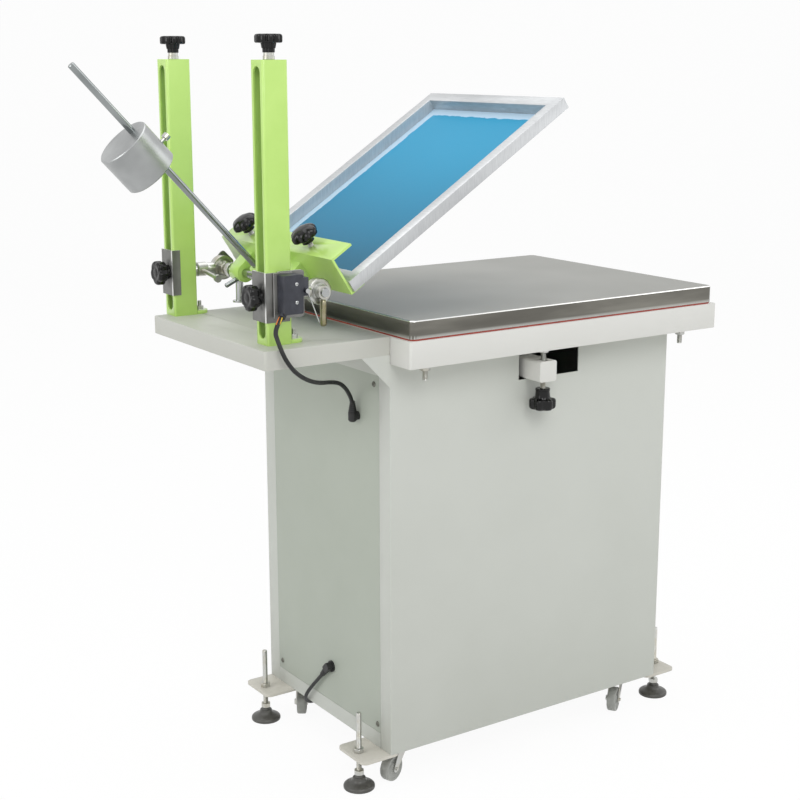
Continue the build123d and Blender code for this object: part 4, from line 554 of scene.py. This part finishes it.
def on_screen(n_mm, s_mm=0.0, y_mm=0.0):
    """A point of the tilted screen: s along it from the hinge, n square to it."""
    return (HINGE_MM + SCREEN_ALONG * s_mm + SCREEN_UP * n_mm + np.array([0, y_mm, 0])) * MM


def spot(x_mm, y_mm, z_mm):
    """A point given in millimetres, in metres."""
    return np.array([x_mm, y_mm, z_mm]) * MM


def on_shaft(y_mm):
    """A point of the hinge shaft's axis."""
    return spot(HINGE_MM[0], y_mm, HINGE_MM[2])


# ---------------------------------------------------------------- finishes of the sheets and bars
mesh_cloth = emulsion_cloth(
    "screen_cloth_blue_emulsion", list(on_screen(0, SCREEN_FROM_MM)), list(SCREEN_ALONG),
    SCREEN_HALF_MM * MM, SCREEN_LONG_MM * MM,
)
# each plain solid that shows; the pieces further on stand for the others
FINISH = {
    "cabinet_panels": cabinet_coat, "end_panel": end_coat, "cabinet_frame": cabinet_coat,
    "base_pan": cabinet_coat, "flange_plates": cream_coat, "shelf": shelf_coat, "tray": tray_coat,
    "lock_beam": tray_coat, "caster_plates": zinc, "columns": green_enamel,
    "clamp_bracket": green_enamel, "gasket": seal_red, "platen": platen_steel,
    "slide_blocks": bright_steel, "wrap_plates": grey_plate, "rod_ends": zinc,
    "adjust_collar_near": zinc, "adjust_collar_far": zinc, "limit_switch": switch_grey,
    "switch_wand": bright_steel, "counterweight_rod": rod_steel, "counterweight": weight_steel,
    "weight_screw": zinc, "brake_screw": bright_steel, "screen_frame": frame_alloy,
    "screen_mesh": mesh_cloth, "cable_glands": abs_black, "vacuum_blower": blower_cast,
    "vacuum_hose": hose_grey, **{f"caster_fork_{tag}": zinc for tag in CASTERS_MM},
}
SOFT_EDGE_MM = {
    "platen": 2.2, "columns": 0.8, "clamp_bracket": 0.6, "cabinet_panels": 0.6, "shelf": 0.5,
    "tray": 0.8, "lock_beam": 0.6, "wrap_plates": 0.4, "limit_switch": 0.7,
    "flange_plates": 0.4, "screen_frame": 0.3, "rod_ends": 0.8,
}
for name, node in nodes.items():
    if name in FINISH:
        node.data.materials.clear()
        node.data.materials.append(FINISH[name])
    node.data.shade_smooth()
    weld = node.modifiers.new("weld", "WELD")
    weld.merge_threshold = 1e-6
    if name in SOFT_EDGE_MM:
        soft = node.modifiers.new("soft edges", "BEVEL")
        soft.width = SOFT_EDGE_MM[name] * MM
        soft.segments = 2
        soft.limit_method = "ANGLE"
        soft.angle_limit = np.radians(40)
        soft.harden_normals = True
    crisp = node.modifiers.new("crisp edges", "EDGE_SPLIT")
    crisp.split_angle = np.radians(35)

# ---------------------------------------------------------------- cords
SWITCH_CABLE_MM = [
    (-331.0, -199.8, 891.5), (-349.6, -208.0, 874.5), (-351.6, -223.0, 857.9),
    (-346.6, -232.0, 834.7), (-332.9, -231.0, 813.8), (-312.0, -223.0, 796.3),
    (-282.2, -205.0, 780.8), (-249.3, -183.0, 769.7), (-214.4, -159.0, 762.9),
    (-184.5, -139.0, 754.0), (-164.0, -126.0, 740.0), (-150.0, -117.0, 723.5),
    (-142.0, -113.0, 708.0), (-142.0, -113.0, 693.0),
]
SWITCH_CABLE_R = 3.75 * MM
MAINS_CORD_MM = [
    (-139.0, -6.2, 164.2), (-139.0, 18.0, 140.0), (-141.0, 40.0, 117.0), (-143.0, 59.0, 95.5),
    (-141.0, 73.0, 77.0), (-129.0, 83.0, 61.5), (-108.0, 89.0, 56.0), (-72.0, 94.0, 56.0),
    (-8.0, 100.0, 56.0), (62.0, 101.0, 56.0), (118.0, 105.0, 56.0), (160.0, 104.0, 55.0),
    (192.0, 99.5, 48.0), (218.0, 91.0, 36.5), (244.0, 80.5, 22.5), (268.0, 69.5, 12.2),
]
MAINS_CORD_R = 3.5 * MM
COIL_MM = np.array([291.0, 113.0])
COIL_MID_MM, CORD_STEP_MM = 42.0, 7.2
COIL_PLACES = [(1, 1), (0, 1), (-1, 1), (-1, 0), (0, 0), (1, 0), (1, 0)]


def coil_turns(turns=6, per_turn=14):
    """The coil's points: each turn lies beside or on the last, one cord's width away, and
    steps over to its new place in its last quarter turn."""
    points = []
    for k in range(turns * per_turn + 1):
        turn, part = divmod(k / per_turn, 1.0)
        first = np.array(COIL_PLACES[int(turn)], float)
        after = np.array(COIL_PLACES[min(int(turn) + 1, len(COIL_PLACES) - 1)], float)
        step = np.clip((part - 0.75) / 0.25, 0, 1)
        across, level = first + (after - first) * step * step * (3 - 2 * step)
        a = np.radians(-92) + TAU * k / per_turn
        r = COIL_MID_MM + across * CORD_STEP_MM
        points.append((*(COIL_MM + r * np.array([np.cos(a), np.sin(a)])), 3.6 + CORD_STEP_MM * level))
    return points


def dress_switch_cable():
    """The switch cable's jacket, carried along the line that its route smooths to."""
    guide = route_curve("switch_cable_guide", SWITCH_CABLE_MM)
    line = line_of(guide)
    bpy.data.objects.remove(guide)
    sheath = tube("switch_cable_sheath", line, SWITCH_CABLE_R, cord_black)
    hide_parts("switch_cable")
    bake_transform(sheath)


def dress_mains_cord():
    """The mains cord: one curve from the panel's bushing along the base and round its coil
    to the plug. Its length is measured on a copy with no thickness."""
    last = (COIL_MM[0] + 23.0, COIL_MM[1] - COIL_MID_MM - CORD_STEP_MM, 5.5)
    cord = route_curve("mains_cord_line", MAINS_CORD_MM + coil_turns() + [last])
    cord.data.bevel_depth = MAINS_CORD_R
    cord.data.bevel_resolution = 4
    cord.data.use_fill_caps = True
    cord.data.materials.append(cord_black)
    plain = cord.data.copy()
    plain.bevel_depth = 0
    ruler = bpy.data.objects.new("ruler", plain)
    length = length_of(line_of(ruler))
    bpy.data.objects.remove(ruler)
    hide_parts("mains_cord", "mains_coil")
    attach(cord, "cabinet")


# ---------------------------------------------------------------- knobs
def put(piece, body, *stands_for):
    """Lets a piece move with its body and stand for the plain solids it shows in detail."""
    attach(piece, body)
    if stands_for:
        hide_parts(*stands_for)
    return piece


def column_knobs():
    """Five-lobed star grips that clamp the carriage: a short skirted hub, a head whose
    rim is rounded over, and a shallow dish with a raised eye in its middle."""
    rows = [
        (0.0, 12.4), (0.6, 13.0), (3.0, 12.4), (5.4, 12.6), (6.8, 14.0), (7.2, 16.0, 0.4),
        (7.5, 19.6, 0.9), (8.6, 21.6, 1), (10.4, 22.3, 1), (18.6, 22.3, 1), (21.2, 21.8, 1),
        (23.0, 20.4, 1), (24.0, 18.4, 0.9), (24.2, 15.8, 0.6), (23.8, 13.0, 0.2), (23.2, 10.6),
        (23.1, 7.6), (23.7, 6.6), (23.9, 3.0),
    ]
    for side, y in COLUMN_Y_MM.items():
        body = f"column_knob_{side}"
        grip = turned(f"{body}_grip", rows, knob_black, spot(COLUMN_X0_MM - 4, y, HINGE_MM[2]),
                      (-1, 0, 0), (0, 0, 1), lobes=5, notch=0.15, columns=120, sharp=2.2)
        put(grip, body, body)
        stud = threaded(f"{body}_stud", *M10_MM, 22.0, zinc,
                        spot(COLUMN_X0_MM - 5.5, y, HINGE_MM[2]), (1, 0, 0))
        put(stud, body)


def frame_knobs():
    """Six-lobed mushroom grips on threaded studs, each with a swivel pad that presses the
    screen's rail."""
    rows = [
        (0.0, 10.6), (0.5, 11.4), (4.0, 11.0), (6.6, 12.4), (8.0, 15.0, 0.3), (8.6, 18.4, 0.8),
        (9.6, 22.0, 1), (11.2, 24.2, 1), (14.2, 25.0, 1), (18.6, 24.6, 1), (22.0, 22.6, 1),
        (24.8, 19.2, 0.8), (26.8, 14.8, 0.5), (28.0, 9.6, 0.2), (28.4, 4.0),
    ]
    bare = 9.0
    pad_rows = [(0.0, 8.2), (0.4, 8.9), (3.2, 9.0), (4.2, 8.4), (5.0, 6.2), (6.4, 6.0), (6.9, 5.4)]
    for side, y in KNOB_Y_MM.items():
        body = f"frame_knob_{side}"
        grip = turned(f"{body}_grip", rows, knob_black, on_screen(CLAMP_TOP_MM + bare, KNOB_AT_MM, y),
                      SCREEN_UP, lobes=6, notch=0.13, columns=120, sharp=2.0)
        put(grip, body, body)
        foot = SCREEN_TOP_MM + 5.0
        stud = threaded(f"{body}_stud", *M10_MM, CLAMP_TOP_MM + bare - foot + 3.0, zinc,
                        on_screen(foot, KNOB_AT_MM, y), SCREEN_UP)
        put(stud, body)
        pad = turned(f"{body}_pad", pad_rows, zinc, on_screen(SCREEN_TOP_MM, KNOB_AT_MM, y), SCREEN_UP)
        put(pad, body)


def lock_grip():
    """The six-lobed star grip under the table that draws the table down on its beam."""
    rows = [
        (0.0, 12.4), (0.7, 13.2), (4.0, 13.4), (4.6, 12.8), (14.0, 13.6), (17.6, 14.8),
        (18.8, 17.0, 0.5), (19.0, 20.4, 0.9), (20.0, 23.2, 1), (22.0, 24.4, 1), (33.6, 24.4, 1),
        (36.4, 23.4, 1), (38.2, 21.4, 1), (39.0, 18.4, 0.8), (39.0, 13.0, 0.3), (38.0, 10.4),
        (38.0, 6.0), (38.4, 3.0),
    ]
    grip = turned("lock_knob_grip", rows, knob_black, LOCK_MM * MM, (0, 0, -1), (1, 0, 0), lobes=6,
                  notch=0.22, columns=144, sharp=1.5)
    put(grip, "lock", "lock_knob")


def height_knobs():
    """Handwheels on the lifting screws: a stepped hub with ten ribs, below a head with ten
    finger flutes. The screw's thread and its two collars turn with them."""
    hub = [
        (0.0, 9.2), (0.3, 9.9, 1), (6.4, 10.0, 1), (6.8, 11.2, 1), (14.2, 12.6, 1), (14.9, 12.8, 1),
    ]
    head = [
        (14.6, 13.0), (14.8, 19.0, 0.8), (15.2, 21.2, 1), (16.6, 22.3, 1), (18.6, 22.5, 1),
        (24.6, 22.5, 1), (26.8, 22.0, 1), (28.2, 20.6, 1), (28.9, 18.6, 0.6), (29.0, 15.8),
        (28.2, 14.4), (28.2, 7.8), (28.6, 7.0), (28.6, 3.0),
    ]
    collars = [
        (1287.0, 6.4), (1287.4, 9.5), (1294.6, 9.5), (1295.0, 6.4), (1299.6, 6.0), (1300.0, 9.0),
        (1300.4, 9.5), (1305.6, 9.5), (1306.0, 8.9), (1306.0, 8.5), (1311.0, 8.5), (1311.0, 6.0),
    ]
    x = COLUMN_X0_MM + COLUMN_L_MM / 2
    for side, y in COLUMN_Y_MM.items():
        at = spot(x, y, COLUMN_TOP_MM + 11)
        body = f"screw_{side}"
        top = turned(f"height_knob_{side}_head", head, knob_black, at, (0, 0, 1), lobes=10, notch=0.15,
                     columns=200, sharp=2.6)
        put(top, body, f"height_knob_{side}")
        ribs = turned(f"height_knob_{side}_hub", hub, knob_black, at, (0, 0, 1), lobes=10, notch=0.14,
                      columns=160, sharp=1.6)
        put(ribs, body)
        thread = threaded(f"leadscrew_{side}_thread", 6.0, 3.0, COLUMN_TOP_MM - SHELF_TOP_MM - 12,
                          bright_steel, spot(x, y, SHELF_TOP_MM + 12), (0, 0, 1), depth=0.35)
        put(thread, body, f"leadscrew_{side}")
        put(turned(f"leadscrew_{side}_collars", collars, zinc, spot(x, y, 0), (0, 0, 1), columns=48),
            body)


# ---------------------------------------------------------------- nuts, bolts and studs
def rounded_box_outline(x0, x1, half_w, corner, columns=144):
    """The distance from the origin to a rounded rectangle's edge, at each angle: the
    nearest point on the ray where the rectangle's rounded distance is nought."""
    a = turn_angles(columns)
    ray = np.stack([np.cos(a), np.sin(a)], -1)
    middle, half = np.array([(x0 + x1) / 2, 0.0]), np.array([(x1 - x0) / 2, half_w])
    near, far = np.zeros(columns), np.full(columns, 80.0)
    for _ in range(40):
        mid = (near + far) / 2
        q = np.abs(ray * mid[:, None] - middle) - (half - corner)
        off = np.linalg.norm(np.maximum(q, 0), axis=1) + np.minimum(q.max(1), 0) - corner
        near, far = np.where(off < 0, mid, near), np.where(off < 0, far, mid)
    return near


def hinge_fasteners():
    """The hinge shaft's nuts, its thrust plate beyond the far eye, and the threads that
    show between them."""
    up = (0, 0, 1)
    for side, inward in (("near", 1), ("far", -1)):
        for n in range(2):
            start = COLUMN_Y_MM[side] + inward * (BALL_HALF_MM + 20.0 * n)
            nut = hex_nut(f"hinge_nut_{side}_{n}", *HINGE_NUT_MM, zinc, on_shaft(start),
                          (0, inward, 0), up if n else (0.4, 0, 1))
            put(nut, "carriage", "hinge_nuts")
    outline = rounded_box_outline(-12.0, 28.0, 17.0, 6.0)
    plate_y, plate_thick = COLUMN_Y_MM["far"] + BALL_HALF_MM, 3.0
    plate = flat_ring("thrust_plate", outline, plate_thick, HINGE_NUT_MM[2], grey_plate,
                      on_shaft(plate_y), (0, 1, 0), (1, 0, 1))
    put(plate, "carriage")
    end = hex_nut("hinge_nut_end", *HINGE_NUT_MM, zinc, on_shaft(plate_y + plate_thick), (0, 1, 0), up)
    put(end, "carriage")
    core = turned("hinge_shaft_core", [(-116.0, 7.0), (-115.8, 8.0), (144.8, 8.0), (145.0, 7.0)],
                  bright_steel, on_shaft(0), (0, 1, 0), columns=48)
    put(core, "carriage", "hinge_shaft")
    for name, y0, y1 in (("near", -184.0, -77.0), ("far", 129.0, 215.0)):
        thread = threaded(f"hinge_thread_{name}", 8.02, 2.0, y1 - y0, bright_steel, on_shaft(y0),
                          (0, 1, 0), depth=0.4, columns=32)
        put(thread, "carriage")


def lever_nut():
    """The lever nut on the near end of the hinge shaft: a turned boss, and a round bar
    screwed into its rim."""
    thick = 12.0
    start = COLUMN_Y_MM["near"] - BALL_HALF_MM - 0.5
    boss = flat_ring("lever_boss", np.full(96, 12.0), thick, 8.1, zinc, on_shaft(start), (0, -1, 0),
                     (1, 0, 0))
    put(boss, "lever", "shaft_lever")
    rows = [
        (9.0, 3.2), (12.6, 3.4), (14.6, 5.0), (18.0, 5.5), (52.0, 5.6), (55.6, 5.1), (57.4, 3.6),
        (57.8, 2.0),
    ]
    bar = turned("lever_bar", rows, brassy_steel, on_shaft(start - thick / 2), (0, 0, -1), columns=32)
    put(bar, "lever")


def column_bolts():
    """The bolts through the columns' feet: a flanged nut on each foot's tongue, the bolt's
    end above it and the bolt's head below the shelf."""
    for side, y in COLUMN_Y_MM.items():
        x, up = -286.0, (0, 0, 1)
        nut = hex_nut(f"column_nut_{side}", *M8_NUT_MM, zinc, spot(x, y, SHELF_TOP_MM + 6), up,
                      (1, 0.3, 0), 9.0)
        put(nut, "cabinet", "column_bolts")
        stud = threaded(f"column_stud_{side}", *M8_MM, 28.0, zinc, spot(x, y, SHELF_TOP_MM - 6), up)
        put(stud, "cabinet")
        head = hex_nut(f"column_head_{side}", M8_NUT_MM[0], 6.0, 0.4, zinc,
                       spot(x, y, SHELF_UNDER_MM), (0, 0, -1))
        put(head, "cabinet")


def table_studs():
    """The platen's levelling screws and the lock stud, each threaded through a flange nut
    under the tray."""
    up, down = (0, 0, 1), (0, 0, -1)
    for n, (x, y) in enumerate(JACKS_MM):
        stud = threaded(f"jack_stud_{n}", *M10_MM, 104.0, zinc, spot(x, y, TRAY_UNDER_MM - 26), up)
        put(stud, "table", "table_studs")
        nut = hex_nut(f"jack_nut_{n}", *M10_NUT_MM, zinc, spot(x, y, TRAY_UNDER_MM), down,
                      (1, 0.2 * n, 0), 11.0)
        put(nut, "table")
    x, y, z = LOCK_MM
    put(threaded("lock_stud", *M10_MM, 126.0, zinc, spot(x, y, z - 16), up), "table")
    nut = hex_nut("lock_nut", *M10_NUT_MM, zinc, spot(x, y, TRAY_UNDER_MM), down, (1, 0.5, 0), 11.0)
    put(nut, "table")


def levelling_feet():
    """Levelling feet: a moulded disc that flares out from its neck, a fixed hexagon above
    it, and a long threaded stud with a lock nut on the corner plate."""
    disc = [
        (0.0, 27.4), (0.5, 28.6), (1.6, 29.0), (4.6, 29.0), (6.2, 28.4), (7.6, 27.0), (9.0, 24.6),
        (10.2, 21.6), (11.4, 18.4), (13.0, 15.4), (15.0, 13.2), (17.4, 12.2), (20.2, 11.8),
        (21.0, 11.0), (21.0, 8.6), (22.6, 7.8), (26.0, 6.8), (26.2, 5.0),
    ]
    across, thick, bore = M10_NUT_MM
    up = (0, 0, 1)
    for name, (x, y) in FEET_MM.items():
        put(turned(f"{name}_disc", disc, foot_grey, spot(x, y, 0), up, columns=72), name, name)
        fixed = hex_nut(f"{name}_hex", across, thick, bore, zinc, spot(x, y, 26), up, (1, x * 3, 0))
        put(fixed, name)
        put(threaded(f"{name}_stud", *M10_MM, 122.0, zinc, spot(x, y, 25), up), name)
        lock_nut = hex_nut(f"{name}_lock_nut", across, thick - 1, bore, zinc,
                           spot(x, y, PLATE_TOP_MM), up, (1, y * 5, 0))
        put(lock_nut, "cabinet", "foot_nuts")


def caster_wheels():
    """Grey wheels with a rounded tread, a sunk web and a raised hub, turned as one."""
    half = [
        (9.0, 5.2), (9.0, 8.4), (7.6, 9.2), (6.6, 10.4), (6.4, 17.0), (7.4, 18.8), (8.6, 19.6),
        (9.0, 21.0), (8.8, 22.6), (8.0, 23.8), (6.4, 24.4), (3.0, 24.5),
    ]
    rows = [(-h, r) for h, r in half] + half[::-1]
    for tag, (x, y, heading) in CASTERS_MM.items():
        ahead = np.radians(heading)
        c, s = np.cos(ahead), np.sin(ahead)
        centre = spot(x + CASTER_TRAIL_MM * c, y + CASTER_TRAIL_MM * s, CASTER_AXLE_MM)
        wheel = turned(f"caster_tyre_{tag}", rows, wheel_grey, centre, (-s, c, 0), columns=72)
        put(wheel, f"wheel_{tag}", f"caster_wheel_{tag}")


def dome_screw(name, at_m, out, r_mm, high_mm, material):
    """A round-head screw: r = R sin and h = H cos of an angle that falls from a quarter turn
    at its 0.4 mm rim to nought at its crown, with a cross recess pressed 1.2 mm into it."""
    columns, rows = 48, 14
    a = turn_angles(columns)
    t = np.linspace(0, 1, rows)[:, None]
    r = r_mm * np.sin((1 - t) * np.pi / 2 * 0.98 + 0.02)
    h = 0.4 + (high_mm - 0.4) * np.cos((1 - t) * np.pi / 2)
    x, y = r * np.cos(a), r * np.sin(a)
    arm = np.minimum(np.abs(x), np.abs(y))
    reach = np.maximum(np.abs(x), np.abs(y))
    cross = np.clip((0.55 - arm) / 0.25, 0, 1) * np.clip((0.62 * r_mm - reach) / 0.5, 0, 1)
    z = h - 1.2 * cross
    points = np.vstack([
        np.stack([r_mm * np.cos(a), r_mm * np.sin(a), 0 * a], -1),
        np.stack([x, y, z], -1).reshape(-1, 3), [[0, 0, -0.2]], [[0, 0, float(z[-1].mean())]],
    ]) * MM
    faces = grid_faces(rows + 1, columns) + end_faces(rows + 1, columns)
    return solid(name, seat(points, at_m, out), faces, material, 40)


def small_screws():
    """Screws of the removable end panel, and the two that hold the switch's cover."""
    for n, (y, z) in enumerate([(-166.0, 750.0), (177.0, 117.0), (-173.0, 115.0), (177.0, 750.0)]):
        at = spot(CABINET_X0_MM, y, z)
        put(dome_screw(f"panel_screw_{n}", at, (-1, 0, 0), 5.0, 2.6, dull_steel), "cabinet")
    for n, z in enumerate((946.0, 916.0)):
        at = spot(-308.5, -211.8, z)
        put(dome_screw(f"switch_screw_{n}", at, (0, -1, 0), 3.0, 1.4, bright_steel), "carriage")


# ---------------------------------------------------------------- cord fittings
def switch_wires():
    """The coloured cores that show where the switch cable's jacket begins."""
    start, end = np.array(SWITCH_CABLE_MM[0]), np.array(SWITCH_CABLE_MM[1])
    along = (end - start) / np.linalg.norm(end - start)
    across = np.cross(along, (0, 0, 1.0))
    across /= np.linalg.norm(across)
    over = np.cross(across, along)
    for name, material, turn in (("orange", wire_orange, 0.9), ("yellow", wire_yellow, 2.6)):
        t = np.linspace(0, 1, 12)[:, None]
        a = turn + 0.9 * t
        line = start + along * (1.0 + 17.0 * t) + 3.3 * (np.cos(a) * across + np.sin(a) * over)
        put(tube(f"switch_wire_{name}", line * MM, 1.1 * MM, material, 10), "carriage")


def superellipse(b, h, power, columns=64):
    """Points y and z once round |y / b|^power + |z / h|^power = 1."""
    a = turn_angles(columns)
    c, s = np.cos(a), np.sin(a)
    return b * np.sign(c) * np.abs(c) ** (2 / power), h * np.sign(s) * np.abs(s) ** (2 / power)


def cord_fittings():
    """The mains cord's ribbed relief, which tapers from the panel, and the tie round its
    coil: a flat band whose inside is a superellipse, cut off flat just above the floor."""
    start, end = np.array(MAINS_CORD_MM[0]), np.array(MAINS_CORD_MM[1])
    rows = []
    for k in range(6):
        z, r = k * 3.6, 6.6 - 0.32 * k
        rows += [(z, r - 0.9), (z + 0.3, r), (z + 2.2, r), (z + 2.5, r - 0.9)]
    rows += [(21.0, 4.2), (21.6, 3.6)]
    relief = turned("mains_relief", rows, abs_black, start * MM, end - start, columns=40)
    put(relief, "cabinet")
    a = np.radians(205)
    outward = np.array([np.cos(a), np.sin(a), 0])
    along = np.array([-np.sin(a), np.cos(a), 0])
    middle = np.array([*COIL_MM, CORD_STEP_MM]) + COIL_MID_MM * outward
    half_w = 12.2
    u, v = superellipse(half_w, 8.0, 5.0)
    v = np.maximum(v, -6.9)
    loops = []
    for shift, thick in ((-2.4, 0.0), (-2.4, 0.9), (2.4, 0.9), (2.4, 0.0)):
        wide = outward * (u[:, None] * (1 + thick / half_w))
        high = np.array([0, 0, 1.0]) * (v[:, None] * (1 + thick / 30))
        loops.append(middle + along * shift + wide + high)
    points = np.vstack(loops) * MM
    put(solid("coil_tie", points, grid_faces(len(loops), len(u), ring=True), tie_grey), "cabinet")


def plug():
    """The mains plug: a rounded body that tapers to a ribbed relief, and two bright pins.
    Each section is a superellipse |y / b|^p + |z / h|^p = 1, where p rises from 2.5 along
    the relief to 4.6 on the body."""
    x0, y0 = COIL_MM[0] + 22.0, COIL_MM[1] - COIL_MID_MM - CORD_STEP_MM
    long, z0, z1 = 47.0, 6.6, 13.0
    rows = []
    for k in range(5):
        x, b = 3.8 * k, 5.0 + 1.1 * k
        for step, cut in ((0.0, 0.9), (0.4, 0.0), (2.4, 0.0), (2.8, 0.9)):
            rows.append((x + step, b - cut, b - cut, 2.5))
    rows += [
        (20.0, 10.6, 8.4, 3.0), (21.0, 12.0, 9.0, 3.2), (23.0, 16.4, 11.6, 4.0), (25.0, 17.6, 12.6, 4.4),
        (43.0, 18.0, 13.0, 4.6), (45.6, 17.6, 12.6, 4.6), (long, 16.0, 11.2, 4.2),
    ]
    points = []
    for x, b, h, power in rows:
        y, z = superellipse(b, h, power)
        level = np.interp(x, [0, 21], [z0, z1])
        points.append(np.stack([x0 + x + 0 * y, y0 + y, np.maximum(level + z, 0.05)], -1))
    grid = len(rows), len(points[0])
    points = np.vstack([*points, [[x0, y0, z0]], [[x0 + long, y0, z1]]]) * MM
    body = solid("mains_plug_body", points, grid_faces(*grid) + end_faces(*grid), cord_black)
    put(body, "cabinet", "mains_plug")
    pin_rows = [(0.0, 2.4), (17.4, 2.4), (18.6, 1.9), (19.0, 1.2)]
    pieces = [body]
    for n, off in enumerate((-9.5, 9.5)):
        pin = turned(f"mains_pin_{n}", pin_rows, bright_steel, spot(x0 + long, y0 + off, z1), (1, 0, 0),
                     columns=24)
        pieces.append(put(pin, "cabinet"))
    return pieces


def gland():
    """The moulded relief over the switch cable's last 24 mm: ribs that widen down to the
    gland on the end panel."""
    end, before = np.array(SWITCH_CABLE_MM[-1]), np.array(SWITCH_CABLE_MM[-2])
    rows = [(-2.0, 4.0)]
    for k in range(6):
        z, r = 3.4 * k - 1.6, 4.6 + 0.55 * k
        rows += [(z, r), (z + 2.0, r + 0.3), (z + 2.2, r - 0.5), (z + 3.2, r - 0.5)]
    rows += [(19.0, 8.0), (24.0, 8.0), (24.6, 7.0)]
    start = end + (before - end) * 0.9 + (0, 0, 3.0)
    put(turned("gland_relief", rows, abs_black, start * MM, end - start, columns=48), "cabinet")


column_knobs()
frame_knobs()
lock_grip()
height_knobs()
hinge_fasteners()
column_bolts()
table_studs()
levelling_feet()
caster_wheels()
small_screws()
switch_wires()
cord_fittings()
gland()
lever_nut()
plug_pieces = plug()

dress_switch_cable()
dress_mains_cord()


# ---------------------------------------------------------------- floor, light and camera
def seen_plain(tree):
    """1 for the rays that show a surface as it is: straight to the camera, mirrored or
    through glass."""
    rays = add(tree, "LightPath").node.outputs
    either = add(tree, "Math", (rays["Is Camera Ray"], rays["Is Glossy Ray"]), operation="MAXIMUM")
    return add(tree, "Math", (either, rays["Is Transmission Ray"]), operation="MAXIMUM")


def studio():
    """A white cove under large soft lamps. To the camera, in metal and through glass the
    cove is nearly plain white, with a trace of the shadow at the feet; to every other ray it
    is matt pale paper. It is a floor, a quarter turn of 3 m radius and a wall, carried
    sideways along a straight line."""
    cove, tree, shader, _ = base("paper_white", "#efefec", 0.9, Specular_IOR_Level=0.1)
    paper = shader.outputs["BSDF"]
    glow = add(tree, "Emission", {"Color": "#ffffff", "Strength": 1.01})
    soft = add(tree, "MixShader", (0.93, paper, glow))
    both = add(tree, "MixShader", (seen_plain(tree), paper, soft))
    tree.links.new(both, tree.nodes["Material Output"].inputs["Surface"])
    a = np.linspace(0, np.pi / 2, 24)
    profile = np.vstack([[-9.0, 0.0], np.c_[6.0 + 3 * np.sin(a), 3 - 3 * np.cos(a)], [9.0, 12.0]])
    ahead = np.array([np.sin(CAMERA_HEADING), np.cos(CAMERA_HEADING)])
    side = np.array([ahead[1], -ahead[0]])
    w = np.array([-14.0, 14.0])
    plan = profile[:, None, :1] * ahead + w[None, :, None] * side
    points = np.concatenate([plan, np.repeat(profile[:, None, 1:], 2, 1)], -1).reshape(-1, 3)
    floor = solid("studio_cove", points, grid_faces(len(profile), 2, wrap=False), cove)
    world = bpy.data.worlds.new("soft_room")
    bpy.context.scene.world = world
    world.use_nodes = True
    room = world.node_tree
    sky = room.nodes["Background"]
    sky.inputs["Color"].default_value = (0.95, 0.97, 1.0, 1)
    sky.inputs["Strength"].default_value = 0.62
    white = add(room, "Background", {"Color": "#ffffff", "Strength": 1.0})
    both = add(room, "MixShader", (seen_plain(room), sky.outputs[0], white))
    room.links.new(both, room.nodes["World Output"].inputs["Surface"])
    lamps = [
        # name, place, aimed at, width, height, watts
        ("key", (-0.9, -3.3, 3.3), (0.0, 0.0, 0.8), 2.6, 2.0, 58),
        ("side", (3.2, -1.6, 2.4), (0.1, 0.0, 0.7), 2.4, 2.2, 22),
        ("left", (-3.4, 0.2, 2.2), (-0.1, 0.0, 0.7), 1.6, 2.2, 32),
        ("top", (0.2, 0.6, 3.9), (0.1, 0.0, 0.6), 2.6, 2.6, 30),
    ]
    for name, at, aim, wide, high, watts in lamps:
        light = bpy.data.lights.new(name, "AREA")
        light.shape = "RECTANGLE"
        light.size, light.size_y, light.energy = wide, high, watts
        lamp = bpy.data.objects.new(name, light)
        bpy.context.scene.collection.objects.link(lamp)
        lamp.location = at
        lamp.rotation_euler = (Vector(aim) - Vector(at)).to_track_quat("-Z", "Y").to_euler()
    bpy.context.scene.view_settings.view_transform = "Standard"


def main_camera():
    """The camera, 3 m out from the hinge end's near corner, a little above the table."""
    camera = bpy.data.objects.new("camera", bpy.data.cameras.new("camera"))
    bpy.context.scene.collection.objects.link(camera)
    camera.data.sensor_width = 36.0
    camera.data.lens = 66.89
    camera.data.shift_x = -0.0013
    camera.location = (-1.5037, -2.28014, 1.3077)
    turn = Matrix.Rotation(-CAMERA_HEADING, 4, "Z") @ Matrix.Rotation(np.radians(76.913), 4, "X")
    camera.rotation_euler = (turn @ Matrix.Rotation(np.radians(-0.066), 4, "Z")).to_euler()
    camera.data.clip_end = 60
    bpy.context.scene.camera = camera


studio()
main_camera()
